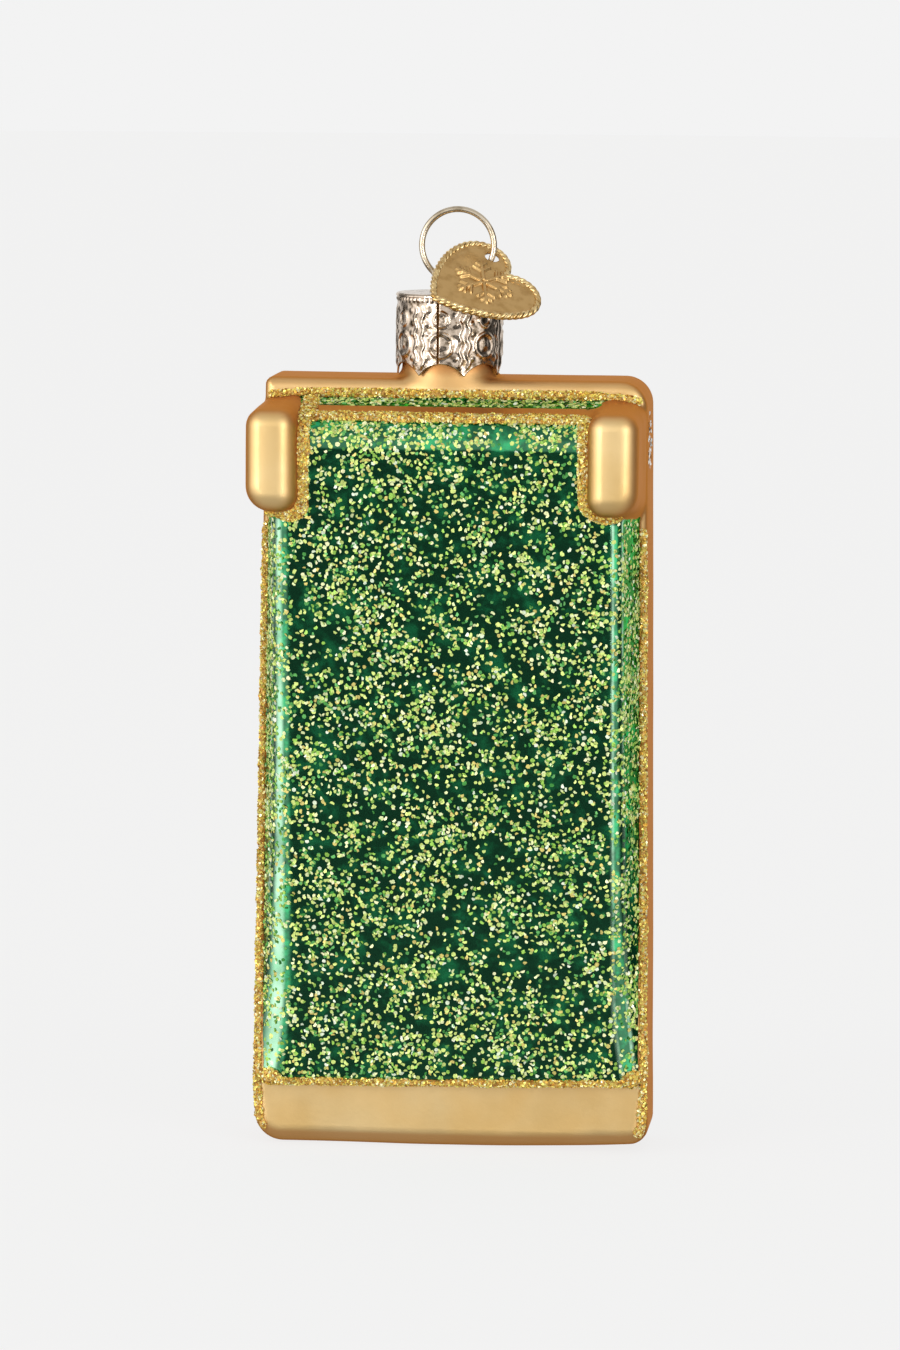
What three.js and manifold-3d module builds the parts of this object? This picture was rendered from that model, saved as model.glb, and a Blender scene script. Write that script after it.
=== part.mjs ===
// Cornhole board ornament: a blown glass board with two stub legs, a crown cap, a wire loop and a tag.
// Millimetres, +Z up. The leg side faces -Y and the playing deck faces +Y.
// The origin is the middle of the flat base, halfway through the board's own thickness.
import * as THREE from 'three';
import { mergeVertices } from 'three/addons/utils/BufferGeometryUtils.js';
import Module from 'manifold-3d';

const wasm = await Module();
wasm.setup();

// Glass board
const WALL = 1.0;
const BOARD_HEIGHT = 91.5;
const BOARD_DEPTH = 12.0;
const BOARD_HALF_TOP = 22.5;
const BOARD_HALF_BASE = 23.6;
const BOARD_CORNER_TOP_LEFT = 1.0;
const BOARD_CORNER_TOP_RIGHT = 3.2;
const BOARD_CORNER_BASE = 3.3;
const BACK_EDGE_ROUND = 1.0;
const DECK_EDGE_ROUND = 1.4;
const DECK_HOLE_RADIUS = 5.85;
const DECK_HOLE_DEPTH = 2.5;
const DECK_HOLE_FLOOR_ROUND = 0.9;
const DECK_HOLE_BELOW_TOP = 17.0;

// Box frame on the back of the board, thin at the foot and deep at the top
const RAIL_HEIGHT = 7.4;
const FRAME_INSET = 0.8;
const FRAME_RISE_AT_RAIL = 1.5;
const FRAME_SLOPE_DEGREES = 6.8;
const FRAME_HALF = 20.3;
const FRAME_FLARE = 1.6;
const FRAME_FLARE_HEIGHT = 13.0;
const FRAME_EDGE_ROUND = 1.6;
const FRAME_TOP_DROP = 2.2;
const FRAME_TOP_SLOPE_DEGREES = 12.4;
const FRAME_TOP_ROUND = 3.0;
const FRAME_LEAST_DEPTH = 0.05;

// Stub legs
const LEG_REACH = 3.1;
const LEG_WIDTH = 6.0;
const LEG_ROOT_LOW = 16.6;
const LEG_ROOT_HIGH = 2.3;
const LEG_END_LOW = 14.3;
const LEG_END_HIGH = 3.2;
const LEG_CORNER = 1.5;
const LEG_CORNER_LOW_OUTER = 2.8;
const LEG_END_ROUND = 1.3;

// Neck that the glass was blown through
const NECK_X = -1.2;
const NECK_Y = -1.0;
const NECK_RADIUS = 5.6;
const NECK_HEIGHT = 9.2;
const NECK_LIP = 0.15;
const NECK_LIP_HEIGHT = 0.3;
const NECK_BORE_FLARE = 0.1;
const SHOULDER_SPREAD = 0.6;
const SHOULDER_DROP = 0.7;
const SHOULDER_BLEND = 0.7;
const SHOULDER_SINK = 0.4;
const BORE_DEPTH_BELOW_TOP = 5.0;

// Crown cap
const CAP_CLEARANCE = 0.4;
const CAP_SHEET = 0.35;
const CAP_SEAT = 0.3;
const CAP_FOOT_GAP = 0.35;
const CAP_SCALLOPS = 7;
const CAP_ARCH_RADIUS = 3.3;
const CAP_ARCH_HEIGHT = 1.4;
const CAP_TIP_TURN_DEGREES = 22.1;
const CAP_SEAM_TURN_DEGREES = -7.0;
const CAP_SEAM_GAP = 0.3;

// Wire loop
const WIRE_RADIUS = 0.36;
const LOOP_RADIUS = 4.25;
const LOOP_LIFT = 5.5;
const LOOP_SHIFT = 0.9;
const LOOP_FOOT_BEND = 1.0;
const PRONG_SPACING = 1.75;
const PRONG_LENGTH = 8.2;
const PRONG_FLARE = 0.8;
const SLOT_CLEARANCE = 0.3;
const SLOT_LENGTH = 2.4;

// Heart tag, hung on the right side of the loop
const TAG_SHEET = 0.35;
const TAG_LOBE_RADIUS = 3.3;
const TAG_LOBE_SPREAD = 3.3;
const TAG_LOBE_OVERLAP = 0.25;
const TAG_TIP_DROP = 8.9;
const TAG_TIP_HALF = 0.4;
const TAG_ROPE_RADIUS = 0.42;
const TAG_ROPE_STRAND = 0.62;
const TAG_ROPE_PITCH = 0.75;
const TAG_ROPE_SLANT_DEGREES = 38.0;
const TAG_HOLE_RADIUS = 0.9;
const TAG_HOLE_RISE = 1.85;
const TAG_LOOP_DEGREES = -19.9;
const TAG_TILT_DEGREES = 51.0;
const TAG_YAW_DEGREES = 27.0;
const TAG_ROLL_DEGREES = -71.0;

// Raised lines of glitter
const GLITTER_RADIUS = 0.65;
const GLITTER_GAP = 0.3;
const GLITTER_CLEAR = 1.0;
const GLITTER_TURN = 1.5;
const GLITTER_TOP_DROP = 1.76;
const GLITTER_TOP_INSET = 1.2;

// Places worked out from the sizes above
const BACK_Y = -BOARD_DEPTH / 2;
const DECK_Y = BOARD_DEPTH / 2;
const ROOT_DEPTH = WALL / 2;
const LEAST_ROUND = 0.3;
const NECK_BORE = NECK_RADIUS - WALL + NECK_BORE_FLARE;
const NECK_TOP = BOARD_HEIGHT + NECK_HEIGHT;
const CAP_INNER = NECK_RADIUS + CAP_CLEARANCE;
const CAP_OUTER = CAP_INNER + CAP_SHEET;
const CAP_UNDERSIDE = NECK_TOP + CAP_SEAT;
const CAP_TOP = CAP_UNDERSIDE + CAP_SHEET;
const CAP_TIP_Z = BOARD_HEIGHT + CAP_FOOT_GAP;
const LOOP_X = NECK_X + LOOP_SHIFT;
const LOOP_Z = CAP_TOP + LOOP_LIFT;

const toRadians = THREE.MathUtils.degToRad;
const FRAME_SLOPE = Math.tan(toRadians(FRAME_SLOPE_DEGREES));
const FRAME_TOP_SLOPE = Math.tan(toRadians(FRAME_TOP_SLOPE_DEGREES));

const GOLD = 0xd9a860;
const CHAMPAGNE = 0xcdb9a0;
const BRASS = 0xc49a50;
const GLITTER = 0xe6cf72;

const group = new THREE.Group();

function addMesh(name, geometry, color, roughness, metalness) {
  const material = new THREE.MeshStandardMaterial({ color, roughness, metalness });
  const mesh = new THREE.Mesh(geometry, material);
  mesh.name = name;
  group.add(mesh);
  return mesh;
}

// Turns a closed three.js geometry into a solid that can be cut and joined
function toSolid(geometry) {
  geometry.deleteAttribute('normal');
  geometry.deleteAttribute('uv');
  const merged = mergeVertices(geometry, 1e-4);
  const vertProperties = new Float32Array(merged.attributes.position.array);
  const triVerts = new Uint32Array(withoutFlatFaces(merged.index.array));
  return new wasm.Manifold(new wasm.Mesh({ numProp: 3, vertProperties, triVerts }));
}

// Leaves out faces that lost a side when their points were merged
function withoutFlatFaces(faces) {
  const kept = [];
  for (let f = 0; f < faces.length; f += 3) {
    const [a, b, c] = [faces[f], faces[f + 1], faces[f + 2]];
    if (a !== b && b !== c && c !== a) {
      kept.push(a, b, c);
    }
  }
  return kept;
}

function toGeometry(solid) {
  const mesh = solid.getMesh();
  const geometry = new THREE.BufferGeometry();
  geometry.setAttribute('position', new THREE.BufferAttribute(mesh.vertProperties, 3));
  geometry.setIndex(new THREE.BufferAttribute(mesh.triVerts, 1));
  geometry.computeVertexNormals();
  return geometry;
}

function join(solids) {
  return solids.reduce((whole, solid) => whole.add(solid));
}

function signedVolume(positions, faces) {
  const [a, b, c] = [new THREE.Vector3(), new THREE.Vector3(), new THREE.Vector3()];
  let total = 0;
  for (let f = 0; f < faces.length; f += 3) {
    a.fromArray(positions, faces[f] * 3);
    b.fromArray(positions, faces[f + 1] * 3);
    c.fromArray(positions, faces[f + 2] * 3);
    total += a.dot(b.cross(c));
  }
  return total / 6;
}

// Skins a row of closed convex sections, all with the same number of points, and caps both ends
function loft(sections) {
  const count = sections[0].length;
  const positions = sections.flat(2);
  const faces = [];
  for (let row = 0; row + 1 < sections.length; row += 1) {
    for (let i = 0; i < count; i += 1) {
      const a = row * count + i;
      const b = row * count + ((i + 1) % count);
      faces.push(a, b, b + count, a, b + count, a + count);
    }
  }
  const last = (sections.length - 1) * count;
  for (let i = 1; i + 1 < count; i += 1) {
    faces.push(0, i + 1, i);
    faces.push(last, last + i, last + i + 1);
  }
  const outward = signedVolume(positions, faces) > 0 ? faces : faces.reverse();
  const geometry = new THREE.BufferGeometry();
  geometry.setAttribute('position', new THREE.Float32BufferAttribute(positions, 3));
  geometry.setIndex(outward);
  return toSolid(geometry);
}

// Points of an arc that rounds the corner between two straight edges
function fillet(before, corner, after, radius, steps) {
  const toStart = before.clone().sub(corner).normalize();
  const toEnd = after.clone().sub(corner).normalize();
  const halfAngle = Math.acos(THREE.MathUtils.clamp(toStart.dot(toEnd), -1, 1)) / 2;
  const reach = radius / Math.tan(halfAngle);
  const start = corner.clone().addScaledVector(toStart, reach);
  const end = corner.clone().addScaledVector(toEnd, reach);
  const inward = toStart.clone().add(toEnd).normalize();
  const middle = corner.clone().addScaledVector(inward, radius / Math.sin(halfAngle));
  const from = start.sub(middle);
  const to = end.sub(middle);
  const turn = Math.atan2(from.cross(to), from.dot(to));
  const points = [];
  for (let i = 0; i <= steps; i += 1) {
    points.push(from.clone().rotateAround(new THREE.Vector2(), turn * (i / steps)).add(middle));
  }
  return points;
}

// Closed outline of straight edges with a radius at each corner
function roundedOutline(corners, radii, steps) {
  const count = corners.length;
  return corners.flatMap((corner, i) => {
    return fillet(corners[(i + count - 1) % count], corner, corners[(i + 1) % count], radii[i], steps);
  });
}

// Rows that round an edge off, from the flat face to the side: how far back and how far in
function edgeRows(radius, steps) {
  const rows = [];
  for (let i = 0; i <= steps; i += 1) {
    const angle = (i / steps) * (Math.PI / 2);
    rows.push({ back: radius * (1 - Math.cos(angle)), inset: radius * (1 - Math.sin(angle)) });
  }
  return rows;
}

function boardHalf(z) {
  return THREE.MathUtils.lerp(BOARD_HALF_BASE, BOARD_HALF_TOP, z / BOARD_HEIGHT);
}

// The board's outline at one depth, drawn in by offset for the inner wall and by inset at its edges
function boardSection(y, inset, offset) {
  const inward = inset + offset;
  const low = inward;
  const high = BOARD_HEIGHT - inward;
  const base = boardHalf(low) - inward;
  const top = boardHalf(high) - inward;
  const corners = [
    new THREE.Vector2(-base, low),
    new THREE.Vector2(base, low),
    new THREE.Vector2(top, high),
    new THREE.Vector2(-top, high),
  ];
  const sizes = [BOARD_CORNER_BASE, BOARD_CORNER_BASE, BOARD_CORNER_TOP_RIGHT, BOARD_CORNER_TOP_LEFT];
  const radii = sizes.map((size) => Math.max(size - inward / 2, LEAST_ROUND));
  return roundedOutline(corners, radii, 5).map((point) => [point.x, y, point.y]);
}

function boardSolid(offset) {
  const nearRows = edgeRows(Math.max(BACK_EDGE_ROUND - offset, LEAST_ROUND), 3);
  const farRows = edgeRows(Math.max(DECK_EDGE_ROUND - offset, LEAST_ROUND), 4).reverse();
  const near = nearRows.map((row) => boardSection(BACK_Y + offset + row.back, row.inset, offset));
  const far = farRows.map((row) => boardSection(DECK_Y - offset - row.back, row.inset, offset));
  return loft([...near, ...far]);
}

// How far the frame's sloping face stands from the middle of the board
function frameDepth(z) {
  return -BACK_Y + FRAME_RISE_AT_RAIL + (z - RAIL_HEIGHT) * FRAME_SLOPE;
}

function frameTopZ(depth) {
  return BOARD_HEIGHT - FRAME_TOP_DROP - (depth + BACK_Y) * FRAME_TOP_SLOPE;
}

function frameFootHalf(z) {
  return boardHalf(z) - FRAME_INSET;
}

// Half width where the side wall would meet the face with a sharp edge
function frameFaceHalf(z) {
  const flare = THREE.MathUtils.clamp(1 - (z - RAIL_HEIGHT) / FRAME_FLARE_HEIGHT, 0, 1);
  return Math.min(FRAME_HALF + FRAME_FLARE * flare * flare, frameFootHalf(z) - LEAST_ROUND);
}

// Depth and height of the frame's back from the rail up the face and over its rounded top
function frameProfile(offset) {
  const low = RAIL_HEIGHT + offset;
  const heights = [0, 0.15, 0.35, 0.6, 0.85, 1.15].map((share) => low + share * FRAME_FLARE_HEIGHT);
  const face = heights.map((z) => new THREE.Vector2(frameDepth(z) - offset, z));
  const wallAtBoard = BOARD_HEIGHT - FRAME_TOP_DROP - offset;
  const faceAtZero = frameDepth(0) - offset;
  const cornerZ = (wallAtBoard - (faceAtZero + BACK_Y) * FRAME_TOP_SLOPE) / (1 + FRAME_SLOPE * FRAME_TOP_SLOPE);
  const corner = new THREE.Vector2(faceAtZero + cornerZ * FRAME_SLOPE, cornerZ);
  const end = new THREE.Vector2(FRAME_LEAST_DEPTH - BACK_Y, wallAtBoard - FRAME_LEAST_DEPTH * FRAME_TOP_SLOPE);
  const round = fillet(face[0], corner, end, Math.max(FRAME_TOP_ROUND - offset, LEAST_ROUND), 6);
  const middle = face[face.length - 1].clone().lerp(round[0], 0.5);
  const wall = [0.35, 0.7].map((share) => round[round.length - 1].clone().lerp(end, share));
  return [...face, middle, ...round, ...wall, end];
}

// One level section of the frame, from its foot on the board round over the face
function frameSection(depth, z, offset) {
  const foot = frameFootHalf(z) - offset;
  const full = frameDepth(z) - offset;
  const rise = THREE.MathUtils.clamp((depth + BACK_Y) / (full + BACK_Y), 0, 1);
  const face = THREE.MathUtils.lerp(foot, frameFaceHalf(z) - offset, rise);
  const round = Math.min(Math.max(FRAME_EDGE_ROUND - offset, LEAST_ROUND), 0.45 * (depth + BACK_Y));
  const back = BACK_Y + offset + ROOT_DEPTH;
  const footPoint = new THREE.Vector2(foot, BACK_Y);
  const facePoint = new THREE.Vector2(face, -depth);
  const mirrored = new THREE.Vector2(-face, -depth);
  const right = [new THREE.Vector2(foot, back), footPoint, ...fillet(footPoint, facePoint, mirrored, round, 5)];
  const left = right.map((point) => new THREE.Vector2(-point.x, point.y)).reverse();
  return [...right, ...left].map((point) => [point.x, point.y, z]);
}

function frameSolid(offset) {
  return loft(frameProfile(offset).map((point) => frameSection(point.x, point.y, offset)));
}

const LEG_MIDDLE_Z = BOARD_HEIGHT - (LEG_END_LOW + LEG_END_HIGH) / 2;
const LEG_OUTER = boardHalf(LEG_MIDDLE_Z);
const LEG_INNER = LEG_OUTER - LEG_WIDTH;
const LEG_END_Y = -(frameDepth(LEG_MIDDLE_Z) + LEG_REACH);

function legLow(y) {
  const share = (y - BACK_Y) / (LEG_END_Y - BACK_Y);
  return BOARD_HEIGHT - THREE.MathUtils.lerp(LEG_ROOT_LOW, LEG_END_LOW, share);
}

function legHigh(y) {
  const share = (y - BACK_Y) / (LEG_END_Y - BACK_Y);
  return BOARD_HEIGHT - THREE.MathUtils.lerp(LEG_ROOT_HIGH, LEG_END_HIGH, share);
}

function legSection(y, inset, offset, side) {
  const inward = inset + offset;
  const radius = Math.max(LEG_CORNER - inward / 2, LEAST_ROUND);
  const corners = [
    new THREE.Vector2(LEG_INNER + inward, legLow(y) + inward),
    new THREE.Vector2(LEG_OUTER - inward, legLow(y) + inward),
    new THREE.Vector2(LEG_OUTER - inward, legHigh(y) - inward),
    new THREE.Vector2(LEG_INNER + inward, legHigh(y) - inward),
  ];
  const lowOuter = Math.max(LEG_CORNER_LOW_OUTER - inward / 2, LEAST_ROUND);
  const outline = roundedOutline(corners, [radius, lowOuter, radius, radius], 4);
  return outline.map((point) => [side * point.x, y, point.y]);
}

function legSolid(offset, side) {
  const root = legSection(BACK_Y + offset + ROOT_DEPTH, 0, offset, side);
  const rows = edgeRows(Math.max(LEG_END_ROUND - offset, LEAST_ROUND), 4).reverse();
  const end = rows.map((row) => legSection(LEG_END_Y + offset + row.back, row.inset, offset, side));
  return loft([root, ...end]);
}

// A turned solid that stands on the neck's own axis
function turned(profile, segments) {
  const points = profile.map(([radius, z]) => new THREE.Vector2(radius, z));
  const geometry = new THREE.LatheGeometry(points, segments);
  geometry.rotateX(Math.PI / 2);
  geometry.translate(NECK_X, NECK_Y, 0);
  return toSolid(geometry);
}

const SHOULDER = NECK_RADIUS + SHOULDER_SPREAD;
const SHOULDER_LOW = BOARD_HEIGHT - FRAME_TOP_DROP - SHOULDER_SINK;

// The neck and its shoulder, drawn out by grow where something lies on them
function neckOuter(grow) {
  return turned([
    [0, SHOULDER_LOW - WALL - grow],
    [NECK_RADIUS - WALL + grow, SHOULDER_LOW - WALL - grow],
    [SHOULDER + grow, SHOULDER_LOW - grow],
    [SHOULDER + grow, BOARD_HEIGHT - SHOULDER_DROP + grow],
    [NECK_RADIUS + SHOULDER_SPREAD / 3 + grow, BOARD_HEIGHT + SHOULDER_BLEND / 3 + grow],
    [NECK_RADIUS + grow, BOARD_HEIGHT + SHOULDER_BLEND + grow],
    [NECK_RADIUS + grow, NECK_TOP - NECK_LIP_HEIGHT - NECK_LIP],
    [NECK_RADIUS + NECK_LIP + grow, NECK_TOP - NECK_LIP_HEIGHT],
    [NECK_RADIUS + NECK_LIP + grow, NECK_TOP + grow],
    [0, NECK_TOP + grow],
  ], 48);
}

function neckBore() {
  const low = BOARD_HEIGHT - BORE_DEPTH_BELOW_TOP;
  return turned([
    [0, low],
    [NECK_BORE - WALL, low],
    [NECK_BORE, BOARD_HEIGHT],
    [NECK_BORE, NECK_TOP + WALL],
    [0, NECK_TOP + WALL],
  ], 48);
}

// Round dimple in the deck, which grows by the wall to shape the inside of the glass
function deckDimple(offset) {
  const radius = DECK_HOLE_RADIUS + offset;
  const floor = DECK_Y - DECK_HOLE_DEPTH - offset;
  const round = edgeRows(DECK_HOLE_FLOOR_ROUND, 3);
  const profile = [
    new THREE.Vector2(0, floor),
    ...round.map((row) => new THREE.Vector2(radius - row.inset, floor + row.back)),
    new THREE.Vector2(radius, DECK_Y + WALL),
    new THREE.Vector2(0, DECK_Y + WALL),
  ];
  const geometry = new THREE.LatheGeometry(profile, 48);
  geometry.translate(0, 0, BOARD_HEIGHT - DECK_HOLE_BELOW_TOP);
  return toSolid(geometry);
}

function glassForm(offset) {
  return join([boardSolid(offset), frameSolid(offset), legSolid(offset, -1), legSolid(offset, 1)]);
}

function glassBody() {
  const outside = glassForm(0).add(neckOuter(0)).subtract(deckDimple(0));
  const inside = glassForm(WALL).subtract(deckDimple(WALL)).add(neckBore());
  return outside.subtract(inside);
}

function circlePoints(radius, sides) {
  return Array.from({ length: sides }, (_, i) => {
    const angle = (i / sides) * 2 * Math.PI;
    return new THREE.Vector2(radius * Math.cos(angle), radius * Math.sin(angle));
  });
}

// Round bar along a curve, closed at both ends
function bar(points, radius, sides, steps) {
  const section = new THREE.Shape(circlePoints(radius, sides));
  const extrudePath = new THREE.CatmullRomCurve3(points, false, 'centripetal');
  return toSolid(new THREE.ExtrudeGeometry(section, { steps, bevelEnabled: false, extrudePath }));
}

function capBand() {
  const wall = turned([
    [CAP_INNER, CAP_TIP_Z],
    [CAP_OUTER, CAP_TIP_Z],
    [CAP_OUTER, CAP_UNDERSIDE],
    [CAP_INNER, CAP_UNDERSIDE],
    [CAP_INNER, CAP_TIP_Z],
  ], 84);
  const cutters = [];
  for (let i = 0; i < CAP_SCALLOPS; i += 1) {
    const turn = toRadians(CAP_TIP_TURN_DEGREES) + ((i + 0.5) / CAP_SCALLOPS) * 2 * Math.PI;
    const arch = new THREE.CylinderGeometry(CAP_ARCH_RADIUS, CAP_ARCH_RADIUS, CAP_OUTER, 40);
    arch.translate(0, -CAP_OUTER, 0);
    arch.rotateZ(turn);
    arch.translate(NECK_X, NECK_Y, CAP_TIP_Z + CAP_ARCH_HEIGHT - CAP_ARCH_RADIUS);
    cutters.push(toSolid(arch));
  }
  const seam = new THREE.BoxGeometry(CAP_SEAM_GAP, CAP_OUTER, 2 * NECK_HEIGHT);
  seam.translate(0, -CAP_OUTER, (CAP_TIP_Z + CAP_UNDERSIDE) / 2);
  seam.rotateZ(toRadians(CAP_SEAM_TURN_DEGREES));
  seam.translate(NECK_X, NECK_Y, 0);
  return wall.subtract(join(cutters)).subtract(toSolid(seam));
}

function wireSlot(side) {
  const half = WIRE_RADIUS + SLOT_CLEARANCE;
  const straight = SLOT_LENGTH / 2 - half;
  const outline = circlePoints(half, 20).map((point) => point.setY(point.y + Math.sign(point.y) * straight));
  const slot = new THREE.ExtrudeGeometry(new THREE.Shape(outline), { depth: 3 * CAP_SHEET, bevelEnabled: false });
  slot.translate(NECK_X + side * PRONG_SPACING, NECK_Y, CAP_UNDERSIDE - CAP_SHEET);
  return toSolid(slot);
}

function capTop() {
  const disc = turned([
    [0, CAP_UNDERSIDE],
    [CAP_OUTER, CAP_UNDERSIDE],
    [CAP_OUTER, CAP_UNDERSIDE + CAP_SHEET * 0.4],
    [CAP_OUTER - CAP_SHEET * 0.3, CAP_UNDERSIDE + CAP_SHEET * 0.85],
    [CAP_OUTER - CAP_SHEET * 0.7, CAP_TOP],
    [0, CAP_TOP],
  ], 84);
  return disc.subtract(wireSlot(-1)).subtract(wireSlot(1));
}

// Route of one side of the wire, from the top of the loop down through its slot to the prong's end
function wireSide(side) {
  const slotX = NECK_X + side * PRONG_SPACING;
  const bendX = slotX + side * LOOP_FOOT_BEND;
  const across = bendX - LOOP_X;
  const drop = Math.sqrt((LOOP_RADIUS + LOOP_FOOT_BEND) ** 2 - across ** 2);
  const bendZ = LOOP_Z - drop;
  const join = Math.atan2(-drop, side * across);
  const points = [];
  for (let i = 0; i <= 12; i += 1) {
    const angle = THREE.MathUtils.lerp(Math.PI / 2, join, i / 12);
    const x = LOOP_X + side * LOOP_RADIUS * Math.cos(angle);
    points.push(new THREE.Vector3(x, NECK_Y, LOOP_Z + LOOP_RADIUS * Math.sin(angle)));
  }
  for (let i = 1; i <= 4; i += 1) {
    const angle = THREE.MathUtils.lerp(join + Math.PI, Math.PI, i / 4);
    const x = bendX + side * LOOP_FOOT_BEND * Math.cos(angle);
    points.push(new THREE.Vector3(x, NECK_Y, bendZ + LOOP_FOOT_BEND * Math.sin(angle)));
  }
  points.push(new THREE.Vector3(slotX, NECK_Y, CAP_UNDERSIDE - WIRE_RADIUS));
  points.push(new THREE.Vector3(slotX + side * PRONG_FLARE * 0.3, NECK_Y, CAP_UNDERSIDE - PRONG_LENGTH * 0.5));
  points.push(new THREE.Vector3(slotX + side * PRONG_FLARE, NECK_Y, CAP_UNDERSIDE - PRONG_LENGTH));
  return points;
}

function hangerWire() {
  const left = wireSide(-1).reverse();
  const right = wireSide(1).slice(1);
  return bar([...left, ...right], WIRE_RADIUS, 8, 84);
}

// Heart outline with the lobes' centres level with zero and the tip pointing down
function heartShape() {
  const lobe = TAG_LOBE_RADIUS;
  const spread = TAG_LOBE_SPREAD - TAG_LOBE_OVERLAP;
  const notch = Math.acos(spread / lobe);
  const outer = spread + lobe;
  const [high, low, tip] = [-0.4, -0.82, -0.98].map((share) => share * TAG_TIP_DROP);
  const near = 0.46 * outer;
  const shape = new THREE.Shape();
  shape.absarc(spread, 0, lobe, Math.PI - notch, 0, true);
  shape.bezierCurveTo(outer, high, near, low, TAG_TIP_HALF, tip);
  shape.quadraticCurveTo(0, -TAG_TIP_DROP - LEAST_ROUND / 2, -TAG_TIP_HALF, tip);
  shape.bezierCurveTo(-near, low, -outer, high, -outer, 0);
  shape.absarc(-spread, 0, lobe, Math.PI, notch, true);
  return shape;
}

function heartTag() {
  const plain = heartShape();
  const strandCount = Math.round(plain.getLength() / TAG_ROPE_PITCH);
  const shape = new THREE.Shape(plain.getPoints(10).slice(0, -1));
  const middle = new THREE.Vector2(-TAG_LOBE_SPREAD, TAG_HOLE_RISE);
  shape.holes.push(new THREE.Path(circlePoints(TAG_HOLE_RADIUS, 20).map((point) => point.add(middle))));
  const plate = new THREE.ExtrudeGeometry(shape, { depth: TAG_SHEET, bevelEnabled: false });
  plate.translate(0, 0, -TAG_SHEET / 2);
  const ends = plain.getSpacedPoints(strandCount).slice(0, strandCount);
  const strands = ends.map((point, i) => {
    const next = ends[(i + 1) % strandCount];
    const along = Math.atan2(next.y - point.y, next.x - point.x);
    const strand = new THREE.SphereGeometry(TAG_ROPE_RADIUS, 6, 5);
    strand.scale(1, TAG_ROPE_STRAND / TAG_ROPE_RADIUS, 1);
    strand.rotateZ(along - Math.PI / 2 + toRadians(TAG_ROPE_SLANT_DEGREES));
    strand.translate(point.x, point.y, 0);
    return toSolid(strand);
  });
  return join([toSolid(plate), ...strands]);
}

// Turns and places the tag so that its hole sits on the wire and its back leans on the cap's rim
function hangTag(mesh) {
  const tilt = toRadians(TAG_TILT_DEGREES);
  const yaw = toRadians(TAG_YAW_DEGREES);
  const roll = toRadians(TAG_ROLL_DEGREES);
  const facing = new THREE.Vector3(Math.sin(yaw) * Math.cos(tilt), -Math.cos(yaw) * Math.cos(tilt), Math.sin(tilt));
  const level = new THREE.Vector3(Math.cos(yaw), Math.sin(yaw), 0);
  const rising = new THREE.Vector3().crossVectors(facing, level);
  const across = level.clone().multiplyScalar(Math.cos(roll)).addScaledVector(rising, Math.sin(roll));
  const along = new THREE.Vector3().crossVectors(facing, across);
  const turn = toRadians(TAG_LOOP_DEGREES);
  const x = LOOP_X + LOOP_RADIUS * Math.cos(turn);
  mesh.quaternion.setFromRotationMatrix(new THREE.Matrix4().makeBasis(across, along, facing));
  mesh.position.set(x, NECK_Y, LOOP_Z + LOOP_RADIUS * Math.sin(turn));
  mesh.position.addScaledVector(across, TAG_LOBE_SPREAD);
  mesh.position.addScaledVector(along, -TAG_HOLE_RISE);
}

function vector(x, y, z) {
  return new THREE.Vector3(x, y, z);
}

// Beside the frame, from the board's lower corner up to the leg
function alongEdge(side) {
  const low = BOARD_CORNER_BASE + GLITTER_CLEAR;
  const high = legLow(BACK_Y) - GLITTER_CLEAR - GLITTER_RADIUS;
  const inset = FRAME_INSET / 2;
  return [low, high].map((z) => vector(side * (boardHalf(z) - inset), BACK_Y, z));
}

// Along the board's top edge above the legs, bending out round the shoulder
function acrossTop() {
  const z = BOARD_HEIGHT - GLITTER_TOP_DROP;
  const half = boardHalf(z) - GLITTER_TOP_INSET;
  const points = [];
  for (let i = 0; i <= 30; i += 1) {
    const x = THREE.MathUtils.lerp(-half, half, i / 30);
    const round = Math.sqrt(Math.max(SHOULDER ** 2 - (x - NECK_X) ** 2, 0));
    points.push(vector(x, Math.min(BACK_Y, NECK_Y - round), z));
  }
  return points;
}

function acrossStrip() {
  const depth = frameDepth(LEG_MIDDLE_Z) - FRAME_TOP_ROUND;
  const z = frameTopZ(depth);
  const half = LEG_INNER - GLITTER_CLEAR - 2 * GLITTER_RADIUS;
  return [vector(-half, -depth, z), vector(half, -depth, z)];
}

function acrossRail() {
  const z = RAIL_HEIGHT;
  const half = frameFootHalf(z) - GLITTER_CLEAR;
  const y = BACK_Y - FRAME_RISE_AT_RAIL / 2;
  return [vector(-half, y, z), vector(half, y, z)];
}

// Under one leg and up its inner side, on the sloping face
function roundLeg(side) {
  const inner = LEG_INNER - GLITTER_RADIUS / 2;
  const outer = FRAME_HALF - FRAME_EDGE_ROUND / 2;
  const under = legLow(-frameDepth(LEG_MIDDLE_Z)) - GLITTER_RADIUS / 2;
  const high = BOARD_HEIGHT - FRAME_TOP_DROP - 2 * FRAME_TOP_ROUND;
  const route = [
    [outer, under],
    [(outer + inner) / 2, under],
    [inner + GLITTER_TURN, under],
    [inner + GLITTER_TURN / 3, under + GLITTER_TURN / 3],
    [inner, under + GLITTER_TURN],
    [inner, (under + high) / 2],
    [inner, high],
  ];
  return route.map(([x, z]) => vector(side * x, -frameDepth(z), z));
}

addMesh('glass_body', toGeometry(glassBody()), GOLD, 0.32, 0.85);
addMesh('cap_band', toGeometry(capBand()), CHAMPAGNE, 0.28, 1.0);
addMesh('cap_top', toGeometry(capTop()), CHAMPAGNE, 0.28, 1.0);
addMesh('hanger_wire', toGeometry(hangerWire()), CHAMPAGNE, 0.25, 1.0);
hangTag(addMesh('heart_tag', toGeometry(heartTag()), BRASS, 0.35, 1.0));

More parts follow.
